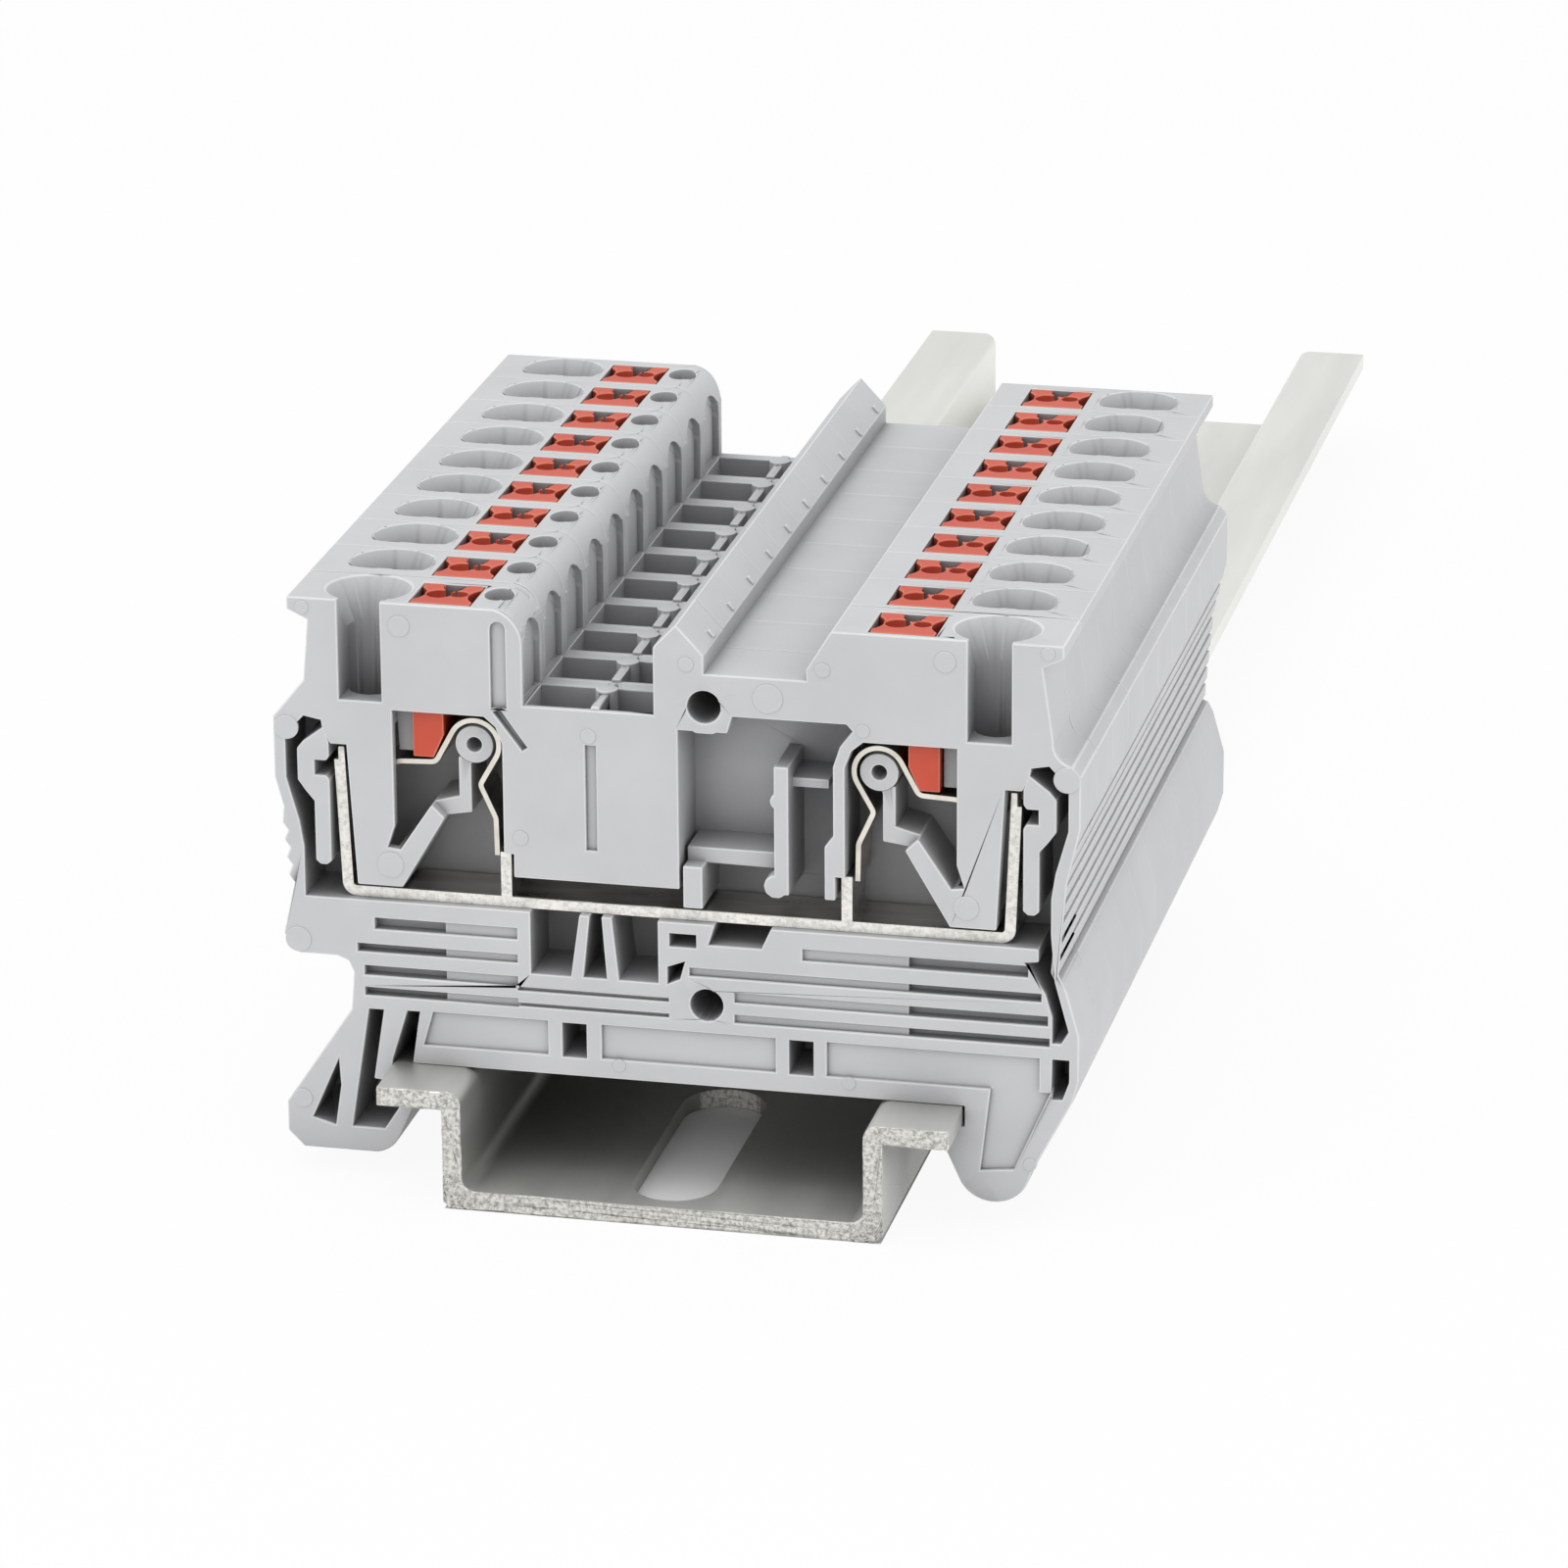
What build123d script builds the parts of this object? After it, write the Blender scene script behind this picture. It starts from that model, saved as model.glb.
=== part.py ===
from build123d import *
import os
from math import cos, pi, radians, sin

# Ten push-in feed-through terminals snapped side by side on a slotted top-hat rail.
# X runs across the rail, Y along it and Z up. The origin is the middle of the rail's
# underside, and all sizes are in millimetres.

os.makedirs("parts", exist_ok=True)

# Strip of terminals
modules = 10
pitch = 5.2
strip_setback = 4.2
back_wall = 0.9
skin = 0.45
outer_wall = 0.75
fit_gap = 0.05

# Rail
rail_length = 166.2
rail_width = 35.0
flange_width = 4.0
rail_height = 7.5
rail_sheet = 1.2
rail_bend = 0.8
slot_width = 5.2
slot_length = 18.0
slot_pitch = 25.0
slot_margin = 1.2

# Housing height and how far it overhangs the rail
tower_top = 36.7
overhang = 7.0
waist_height = 6.6
foot_bottom = 1.5
grip_teeth = 4
grip_pitch = 1.1
rib_count = 8
rib_pitch = 1.15
rib_depth = 0.28
rib_rim = 0.3

# Wire entries and buttons
wire_bore = 2.6
funnel_radius = 2.55
funnel_depth = 2.4
funnel_wall = 1.1
button_width = 4.2
button_stem = 1.9
button_head = 4.0
button_recess = 0.15
button_gap = 0.08
button_travel = 2.0
waist_half = 1.3
waist_cut = 0.45
pit_radius = 0.75
pit_depth = 1.0
probe_radius = 1.1
probe_depth = 4.0
flute_depth = 0.35

# Clamp cells and their columns
boss_radius = 1.15
boss_bore = 0.4
column_width = 2.9
column_gap = 0.25
column_wall = 0.7
spring_sheet = 0.3
spring_gap = 0.2
spring_width = 3.0
spring_front = 0.8
leg_gap = 0.1
spring_steps = 9
covered_spring_steps = 3

# Current bar
bar_lean = 0.4
bar_sheet = 0.7
bar_width = 3.6
bar_front = 0.5
bar_bend = 0.9
tab_height = 2.8
tongue_length = 0.8
tongue_step = 0.3
tongue_side = 1.2

# Depths on the open face
boss_recess = 0.8
guide_recess = 1.2
deep_groove = 0.8
shallow_groove = 0.3
pin_hole = 0.97

# Seats on the rail
flange_gap = 0.08
latch_gap = 0.1

# Sides of small round details: fine ones in the open terminal, coarse ones in the covered
# terminals and in the smallest bores. Shorter roundings of the outline are drawn as chords
fine_sides = 10
coarse_sides = 6
shortest_arc = 1.6

strip_front = strip_setback - rail_length / 2
pocket = pitch - back_wall
flange_end = rail_width / 2
flange_low = rail_height - rail_sheet

# Half widths, each from the one outside it
body_half = flange_end + overhang
ear_half = body_half - 1.05
neck_half = body_half - 2.4
wall_face = body_half - outer_wall
bar_half = body_half - 3.55
column_outer = bar_half - bar_sheet - spring_gap - fit_gap
column_inner = column_outer - column_width
wire_x = column_outer - 0.95
button_outer = column_inner - 1.1
button_inner = button_outer - button_width
clamp_x = button_inner + 0.5
tab_face = clamp_x - boss_radius - spring_gap - 0.2
block_half = clamp_x - 1.9
probe_x = button_inner - 0.85

# Heights, down from the tower and up from the rail
button_top = tower_top - button_recess
shoulder_z = tower_top - 7.3
hump_peak = tower_top - 0.2
marker_floor = tower_top - 3.15
channel_floor = marker_floor - 2.75
cell_top = channel_floor - 0.85
wire_slot_bottom = cell_top + 0.5
button_bottom = cell_top - 2.95
clamp_z = cell_top - 2.05
bar_top = clamp_z - 0.6
waist_z = rail_height + waist_height
shelf_z = waist_z + 3.75
column_foot = shelf_z + bar_sheet + column_gap
block_bottom = column_foot + 1.15
tab_top = shelf_z + bar_sheet + tab_height


def inward(part):
    """Place in the middle of a terminal, as a part of the block's half width."""
    return part * block_half


# Channels and the window between the towers
channel_left = inward(0.872)
channel_right = inward(0.109)
marker_left = inward(0.186)
marker_right = inward(0.779)
window_left = inward(0.034)
shaft_left = (-channel_left + fit_gap, -inward(0.524))
shaft_right = (-inward(0.38), -channel_right - fit_gap)


def module_front(index):
    """Place of the open face of one terminal along the rail."""
    return strip_front + index * pitch


def face_plane(index, depth=0.0):
    """Plane of a terminal's open face, or one a depth behind it."""
    return Plane.XZ.offset(-module_front(index) - depth)


def flip(side, points):
    """The same corner points on the right (1) or on the left (-1) half."""
    return [(side * x, z) for x, z in points]


def sides_of(index):
    """How many sides a small round detail of one terminal has."""
    return fine_sides if index == 0 else coarse_sides


def polygon(points, mode=Mode.ADD):
    """A filled polygon in the sketch that is open."""
    with BuildLine() as edge:
        Polyline(*points, close=True)
    make_face(edge.edges(), mode=mode)


def block(x0, x1, z0, z1, mode=Mode.ADD):
    """A rectangle between two corners, in the sketch that is open."""
    with Locations(((x0 + x1) / 2, (z0 + z1) / 2)):
        Rectangle(abs(x1 - x0), abs(z1 - z0), mode=mode)


def wall_x(z):
    """Half width of the waisted right wall at a height between foot and shoulder."""
    low, mid, high = waist_z + 2.2, shoulder_z - 7.4, shoulder_z - 3.9
    if z < low:
        return body_half - 1.3 + 0.5 * (low - z)
    if z < mid:
        return body_half - 1.3 + 0.5 * (z - low) / (mid - low)
    return body_half - 0.8 + 0.8 * (z - mid) / (high - mid)


def rib_wave():
    """Crests and valleys of the finger ribs on the right wall, from the top down."""
    top = waist_z + 1.1 + rib_count * rib_pitch
    wave = []
    for rib in range(rib_count):
        z = top - rib * rib_pitch
        wave.append((wall_x(z), z))
        wave.append((wall_x(z - rib_pitch / 2) - rib_depth, z - rib_pitch / 2))
    return wave


def silhouette(covered):
    """Outline of one terminal seen along the rail.

    Straight runs and arcs follow each other in turn; small arcs are drawn as chords. A
    covered terminal has only chords, its ribs in the outline, a plain grip wall and no
    slits in its latch.
    """
    tower_edge = -channel_left - 1.7
    top_run = [
        (-channel_left, tower_top - 2.3),
        (-channel_left, channel_floor),
        (-channel_right, channel_floor),
        (-channel_right, hump_peak - 1.5),
        (-channel_right + 1.4, hump_peak),
        (marker_left, hump_peak - 1.8),
        (marker_left, marker_floor),
        (marker_right, marker_floor),
        (marker_right, marker_floor + 0.7),
        (marker_right + 1.5, tower_top),
        (ear_half, tower_top),
        (ear_half, tower_top - 0.8),
        (neck_half + 0.1, tower_top - 1.4),
        (neck_half + 0.75, shoulder_z + 1.4),
    ]
    right_wall = [
        (body_half - 0.5, shoulder_z - 0.1),
        (body_half, shoulder_z - 0.7),
        (body_half, shoulder_z - 3.9),
    ]
    if covered:
        right_wall += rib_wave()
    else:
        right_wall += [(wall_x(z), z) for z in (shoulder_z - 7.4, waist_z + 2.2, waist_z + 1.1)]
    right_wall += [
        (body_half, waist_z - 1.6),
        (body_half, rail_height + 2.1),
        (body_half - 0.4, rail_height + 0.7),
        (flange_end + 4.1, foot_bottom + 1.9),
    ]
    # Hook under the right flange, seat on the rail, then the latch with its two slits
    seat = [
        (flange_end - 0.1, foot_bottom + 1.1),
        (flange_end - 1.1, flange_low - 1.5),
        (flange_end - 1.1, flange_low - flange_gap),
        (flange_end + latch_gap, flange_low - flange_gap),
        (flange_end + latch_gap, rail_height),
    ]
    if covered:
        seat += [(-flange_end - latch_gap, rail_height)]
        slit = []
        nose = [(-flange_end - latch_gap, rail_height)]
    else:
        seat += [
            (-flange_end + 1.15, rail_height),
            (-flange_end + 1.65, rail_height + 3.35),
            (-flange_end + 0.9, rail_height + 3.35),
            (-flange_end - latch_gap, rail_height + 0.1),
            (-flange_end - latch_gap, flange_low - 0.1),
        ]
        slit = [
            (-flange_end - latch_gap, flange_low - 0.1),
            (-flange_end - 0.75, flange_low - 0.5),
            (-flange_end - 1.3, flange_low),
        ]
        nose = [
            (-flange_end - 1.3, flange_low),
            (-flange_end - 0.6, rail_height + 3.3),
            (-flange_end - 1.5, rail_height + 3.3),
            (-flange_end - 2.7, foot_bottom + 1.6),
            (-flange_end - 0.7, foot_bottom + 1.6),
            (-flange_end + 0.2, foot_bottom + 3.0),
        ]
    nose += [
        (-flange_end + (0.6 if slit else -latch_gap), flange_low - flange_gap),
        (-flange_end + 1.7, flange_low - flange_gap),
        (-flange_end + 1.1, foot_bottom + 3.1),
        (-flange_end + 0.2, foot_bottom + 1.1),
    ]
    # Serrated finger grip, then the plain wall up to the shoulder and the ear
    left_wall = [(-body_half + 0.3, waist_z + 1.2)]
    for tooth in range(0 if covered else grip_teeth):
        z = waist_z + 4.5 + tooth * grip_pitch
        lean = 0.1 * tooth
        left_wall.append((-body_half + 1.05 - lean, z))
        left_wall.append((-body_half + 0.7 - lean, z + 0.45 * grip_pitch))
    left_wall += [
        (-body_half + 0.5, shoulder_z - 6.0),
        (-body_half, shoulder_z - 4.1),
        (-body_half, shoulder_z - 0.3),
        (-neck_half - 0.45, shoulder_z + 2.1),
        (-neck_half - 0.1, tower_top - 1.4),
        (-ear_half, tower_top - 0.8),
        (-ear_half, tower_top),
    ]
    step = [] if covered else [(-body_half + 4.6, waist_z - 1.0), (-body_half + 4.3, waist_z - 0.3)]
    runs = [
        [(-ear_half, tower_top), (tower_edge, tower_top)],
        [(tower_edge, tower_top), (-channel_left - 0.55, tower_top - 0.7), top_run[0]],
        top_run,
        [top_run[-1], (neck_half + 1.1, shoulder_z + 0.35), right_wall[0]],
        right_wall,
        [right_wall[-1], (flange_end + 2.1, foot_bottom), seat[0]],
        seat,
        slit,
        nose,
        [nose[-1], (-flange_end - 0.4, foot_bottom + 0.35), (-flange_end - 1.2, foot_bottom)],
        [(-flange_end - 1.2, foot_bottom), (-body_half + 1.2, foot_bottom)],
        [
            (-body_half + 1.2, foot_bottom),
            (-body_half + 0.5, foot_bottom + 0.3),
            (-body_half + 0.2, foot_bottom + 1.0),
        ],
        [
            (-body_half + 0.2, foot_bottom + 1.0),
            (-body_half + 0.2, foot_bottom + 2.9),
            (-body_half + 4.4, rail_height + 3.2),
            *step,
            (-body_half + 3.6, waist_z),
        ],
        [],
        [(-body_half + 3.6, waist_z), (-body_half + 1.2, waist_z)],
        [
            (-body_half + 1.2, waist_z),
            (-body_half + 0.55, waist_z + 0.4),
            (-body_half + 0.3, waist_z + 1.2),
        ],
        left_wall,
    ]
    with BuildLine() as outline:
        for place, run in enumerate(runs):
            if place % 2 == 0 and run:
                Polyline(*run)
            elif run and (covered or (Vector(*run[-1]) - Vector(*run[0])).length < shortest_arc):
                Line(run[0], run[-1])
            elif run:
                ThreePointArc(*run)
    make_face(outline.edges())


def plain_cells():
    """Room for the bar, springs and buttons of a terminal whose works are covered."""
    reach = bar_half + fit_gap
    polygon(
        [
            (-reach, shelf_z),
            (reach, shelf_z),
            (reach, bar_top + fit_gap),
            (column_inner, cell_top),
            (block_half, cell_top),
            (block_half - 0.7, block_bottom),
            (-block_half + 0.7, block_bottom),
            (-block_half, cell_top),
            (-column_inner, cell_top),
            (-reach, bar_top + fit_gap),
        ]
    )


def clamp_cell(side):
    """Open clamp cell of one side, without the wire wedge and its slanted arm."""
    polygon(
        flip(
            side,
            [
                (column_inner, cell_top),
                (column_inner, column_foot + 3.9),
                (column_inner + 0.45, column_foot + 2.5),
                (column_inner - 0.3, column_foot + 2.4),
                (column_inner - 2.3, column_foot + 5.4),
                (column_inner - 3.1, column_foot + 4.6),
                (column_inner - 0.4, column_foot),
                (column_inner - 0.4, shelf_z),
                (block_half - 0.6, shelf_z),
                (block_half - 0.6, tab_top + fit_gap),
                (block_half, tab_top + fit_gap),
                (block_half, clamp_z + 0.4),
                (block_half + 0.4, cell_top - 0.6),
                (block_half + 1.1, cell_top),
            ],
        )
    )


def side_space(side):
    """Space beside the bar's leg, between the wire column and the outer wall."""
    polygon(
        flip(
            side,
            [
                (column_outer, bar_top + 0.3),
                (bar_half + 0.05, bar_top + 0.3),
                (bar_half + 0.5, shoulder_z - 1.0),
                (bar_half + 0.6, shoulder_z - 0.35),
                (wall_face - 1.15, shoulder_z - 0.15),
                (wall_face, shoulder_z - 1.4),
                (wall_face, shoulder_z - 4.1),
                (wall_face - 0.75, shoulder_z - 6.8),
                (wall_face - 1.0, shoulder_z - 8.4),
                (wall_face - 1.0, shelf_z),
                (column_outer - 0.5, shelf_z),
                (column_outer - 0.5, column_foot),
            ],
        )
    )


def clip_hook(side):
    """Barbed strap that stands beside the bar's leg and snaps over its end."""
    inner = bar_half + 0.12
    top = bar_top + 0.4
    polygon(
        flip(
            side,
            [
                (inner, top),
                (bar_half + 0.4, shoulder_z - 0.7),
                (inner + 1.6, top),
                (inner + 2.0, top - 0.5),
                (inner + 2.0, top - 2.5),
                (inner + 1.5, top - 3.2),
                (inner + 1.0, top - 3.8),
                (inner + 1.0, shelf_z + 2.3),
                (inner + 0.7, shelf_z + 2.05),
                (inner + 0.3, shelf_z + 2.05),
                (inner, shelf_z + 2.3),
                (inner, top - 2.4),
                (inner + 0.2, top - 2.1),
                (inner + 0.9, top - 2.1),
                (inner + 0.9, top - 1.2),
                (inner + 0.2, top - 1.2),
                (inner, top - 0.9),
            ],
        ),
        mode=Mode.SUBTRACT,
    )


def test_window():
    """Large open pocket between the middle block and the right clamp cell."""
    rib = inward(0.63)
    polygon(
        [
            (window_left, cell_top),
            (marker_left + 1.4, cell_top),
            (marker_left + 1.7, cell_top + 1.05),
            (block_half + 0.1, cell_top + 1.05),
            (block_half + 0.45, cell_top + 0.65),
            (block_half - 0.3, cell_top - 0.35),
            (block_half - 0.73, clamp_z + 0.4),
            (block_half - 0.73, clamp_z - 3.9),
            (block_half - 1.25, clamp_z - 4.6),
            (block_half - 1.25, shelf_z),
            (window_left, shelf_z),
        ]
    )
    # Post between window and block, and the long rib with its two bulbs
    block(window_left + 0.2, window_left + 1.4, column_foot, block_bottom + 1.5, mode=Mode.SUBTRACT)
    block(rib - 0.45, rib + 0.45, block_bottom + 0.1, clamp_z + 0.2, mode=Mode.SUBTRACT)
    bulbs = [
        (rib - 0.15, clamp_z - 2.0, 0.55),
        (rib - 0.35, block_bottom + 0.6, 0.75),
        (marker_left, channel_floor + 0.7, 1.75),
    ]
    for x, z, radius in bulbs:
        with Locations((x, z)):
            RegularPolygon(radius, fine_sides, mode=Mode.SUBTRACT)


def lower_spaces():
    """Pockets and slits that run to the back wall below the current bar."""
    # Pocket under the bar with its two thin sloping walls
    low = waist_z - 0.2
    block(-inward(0.85), -inward(0.1), low, shelf_z)
    for x, foot in ((-inward(0.53), -0.5), (-inward(0.4), 0.35)):
        slope = [(x - 0.33, shelf_z), (x + 0.33, shelf_z), (x + 0.4 + foot, low), (x - 0.4 + foot, low)]
        polygon(slope, Mode.SUBTRACT)
    # Notch, keyhole and flat pocket beside it
    block(-0.3, 1.3, shelf_z - 1.55, shelf_z - 0.75)
    polygon([(-0.45, shelf_z - 2.9), (0.6, shelf_z - 2.5), (0.3, shelf_z - 3.6), (-0.45, low)])
    bay = inward(0.2)
    polygon([(bay, shelf_z - 1.3), (bay + 3.2, shelf_z - 1.3), (bay + 3.8, shelf_z), (bay + 0.4, shelf_z)])
    # Slit beside the right wall and the slot below its web
    polygon(
        [
            (wall_face - 1.0, shelf_z + 0.9),
            (wall_face - 0.85, shelf_z - 0.8),
            (wall_face - 0.75, waist_z + 1.7),
            (wall_face + 0.1, waist_z - 1.4),
            (wall_face - 0.35, waist_z - 2.15),
            (wall_face - 0.85, waist_z - 2.15),
            (wall_face - 0.85, waist_z - 0.5),
            (wall_face - 1.25, waist_z + 0.9),
            (wall_face - 2.4, shelf_z - 0.95),
            (wall_face - 1.7, shelf_z - 0.85),
            (wall_face - 1.7, shelf_z + 0.9),
        ]
    )
    polygon(
        [
            (wall_face - 0.85, rail_height + 3.4),
            (wall_face + 0.15, rail_height + 3.4),
            (wall_face + 0.15, rail_height + 2.0),
            (wall_face - 0.25, rail_height + 0.9),
            (wall_face - 0.85, rail_height + 0.9),
        ]
    )
    # Square pockets in the base, and the triangle inside the latch
    for x in (-inward(0.67), inward(0.67)):
        block(x, x + 1.45, rail_height + 1.2, rail_height + 3.35)
    polygon(
        [
            (-body_half + 3.5, foot_bottom + 5.9),
            (-body_half + 1.8, foot_bottom + 2.0),
            (-body_half + 3.2, foot_bottom + 1.6),
            (-body_half + 3.6, foot_bottom + 4.2),
        ]
    )


# Rows of grooves below the bar: height over the waist, thickness, how far the left and
# right ends stay inside the body, and where the right row starts in the middle
groove_rows = [
    (1.9, 0.7, 6.0, 3.1, 0.75),
    (0.4, 0.5, 4.9, 2.3, 0.087),
    (-1.1, 0.6, 5.3, 1.9, 0.35),
    (-2.4, 0.5, 5.3, 1.8, 0.35),
]
groove_step = 10.3


def deep_grooves():
    """Deep ends of the rows of grooves, left and right."""
    turn = body_half - groove_step
    for height, thickness, left, right, start in groove_rows:
        low = waist_z + height
        block(-body_half + left, -turn, low, low + thickness)
        block(turn, body_half - right, low, low + thickness)


def shallow_grooves():
    """Shallow rows, long thin grooves and the sunk panels of the base."""
    turn = body_half - groove_step
    for height, thickness, left, right, start in groove_rows:
        low = waist_z + height
        block(-turn, -inward(0.933), low, low + thickness)
        block(inward(start), turn, low, low + thickness)
    for height in (-2.35, -1.35):
        block(-inward(0.933), -inward(0.04), waist_z + height, waist_z + height + 0.2)
    top = rail_height + 3.4
    low = rail_height + 1.25
    left = -flange_end + 2.5
    polygon([(left, top), (-inward(0.76), top), (-inward(0.76), low), (left - 0.6, low)])
    block(-inward(0.4375), inward(0.5865), low, top)
    block(inward(0.89), body_half - 2.4, low, top)
    # Foot panel, face groove of the block and the long groove of the left tower
    foot = flange_end + 1.1
    polygon([(foot + 0.6, low), (body_half - 1.6, low), (foot + 2.0, low - 5.05), (foot, low - 5.25)])
    slot = -inward(0.48)
    block(slot - 0.31, slot + 0.31, clamp_z - 5.9, clamp_z + 0.7)
    pill = -channel_left - 1.48
    block(pill - 0.45, pill + 0.45, cell_top + 0.6, tower_top - 1.2)
    with Locations((pill, tower_top - 1.2)):
        RegularPolygon(0.45, fine_sides)


def button_shaft(index, side):
    """Stepped shaft that a button slides in, open at the top and into the cell."""
    front = module_front(index) + skin
    depth = pocket - skin
    head_floor = button_top - button_head - button_travel - fit_gap
    inner = button_inner - button_gap
    outer = button_outer + button_gap
    stem = button_outer - button_stem - button_gap
    with BuildSketch(Plane.XY.offset(tower_top)) as head:
        with Locations((side * (inner + outer) / 2, front + depth / 2)):
            Rectangle(outer - inner, depth)
    extrude(head.sketch, amount=head_floor - tower_top, mode=Mode.SUBTRACT)
    with BuildSketch(Plane.XY.offset(head_floor)) as neck:
        with Locations((side * (stem + outer) / 2, front + depth / 2)):
            Rectangle(outer - stem, depth)
    extrude(neck.sketch, amount=cell_top - head_floor, mode=Mode.SUBTRACT)


def wire_entry(index, side):
    """Bowl and bore for a wire: open at the first terminal's face, walled in the others."""
    middle = module_front(index) + pitch / 2
    place = (side * wire_x, middle)
    sides = sides_of(index)
    turn = 180 / sides
    bowl_low = tower_top - funnel_depth
    with BuildPart() as entry:
        # The bowl reaches above the tower, so that its chamfer ends at the tower's top
        with BuildSketch(Plane.XY.offset(bowl_low)):
            with Locations(place):
                RegularPolygon(funnel_radius, sides, rotation=turn)
        extrude(amount=2 * funnel_depth)
        low = entry.faces().sort_by(Axis.Z)[0]
        run = (funnel_radius - wire_bore / 2) * cos(pi / sides)
        chamfer(low.edges(), length=run, length2=funnel_depth, reference=low)
        with BuildSketch(Plane.XY.offset(button_bottom)):
            with Locations(place):
                RegularPolygon(wire_bore / 2, sides, rotation=turn)
        extrude(amount=bowl_low - button_bottom)
        if index == 0:
            with BuildSketch(Plane.XY.offset(wire_slot_bottom)):
                with Locations((side * wire_x, middle - pitch / 4)):
                    Rectangle(wire_bore, pitch / 2)
            extrude(amount=tower_top - wire_slot_bottom)
        else:
            split(bisect_by=face_plane(index, funnel_wall), keep=Keep.BOTTOM)
    return entry.part


def bridge_shafts(index):
    """Two rectangular shafts from the channel floor down to the current bar."""
    depth = pocket - skin
    with BuildSketch(Plane.XY.offset(channel_floor)) as shafts:
        for x0, x1 in (shaft_left, shaft_right):
            with Locations(((x0 + x1) / 2, module_front(index) + skin + depth / 2)):
                Rectangle(x1 - x0, depth)
    extrude(shafts.sketch, amount=block_bottom - channel_floor, mode=Mode.SUBTRACT)


def tower_flute(index):
    """Shallow arched flute in the tower wall that faces the bridge channel."""
    top = tower_top - 2.4
    left = module_front(index) + skin + 0.1
    right = left + pocket - 2 * skin
    arch = (right - left) / 2
    with BuildSketch(Plane.YZ.offset(-channel_left)) as flute:
        with BuildLine() as edge:
            Polyline(
                (left + arch / 2, top),
                (left, top - arch),
                (left, channel_floor),
                (right, channel_floor),
                (right, top - arch),
                (right - arch / 2, top),
                close=True,
            )
        make_face(edge.edges())
    extrude(flute.sketch, amount=-flute_depth, mode=Mode.SUBTRACT)


def probe_hole(index):
    """Small test hole between the left button and the tower edge."""
    place = (-probe_x, module_front(index) + pitch / 2 + 0.4)
    with BuildSketch(Plane.XY.offset(tower_top)) as hole:
        with Locations(place):
            RegularPolygon(probe_radius, sides_of(index) - 2)
    extrude(hole.sketch, amount=-probe_depth, mode=Mode.SUBTRACT)


def side_ribs(index):
    """Finger ribs of the open terminal, cut behind a plain rim at its face."""
    wave = rib_wave()
    with BuildSketch(face_plane(index, rib_rim)) as ribs:
        polygon([*wave, (body_half + 1, wave[-1][1]), (body_half + 1, wave[0][1])])
    extrude(ribs.sketch, amount=rib_rim - pitch, mode=Mode.SUBTRACT)


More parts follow.
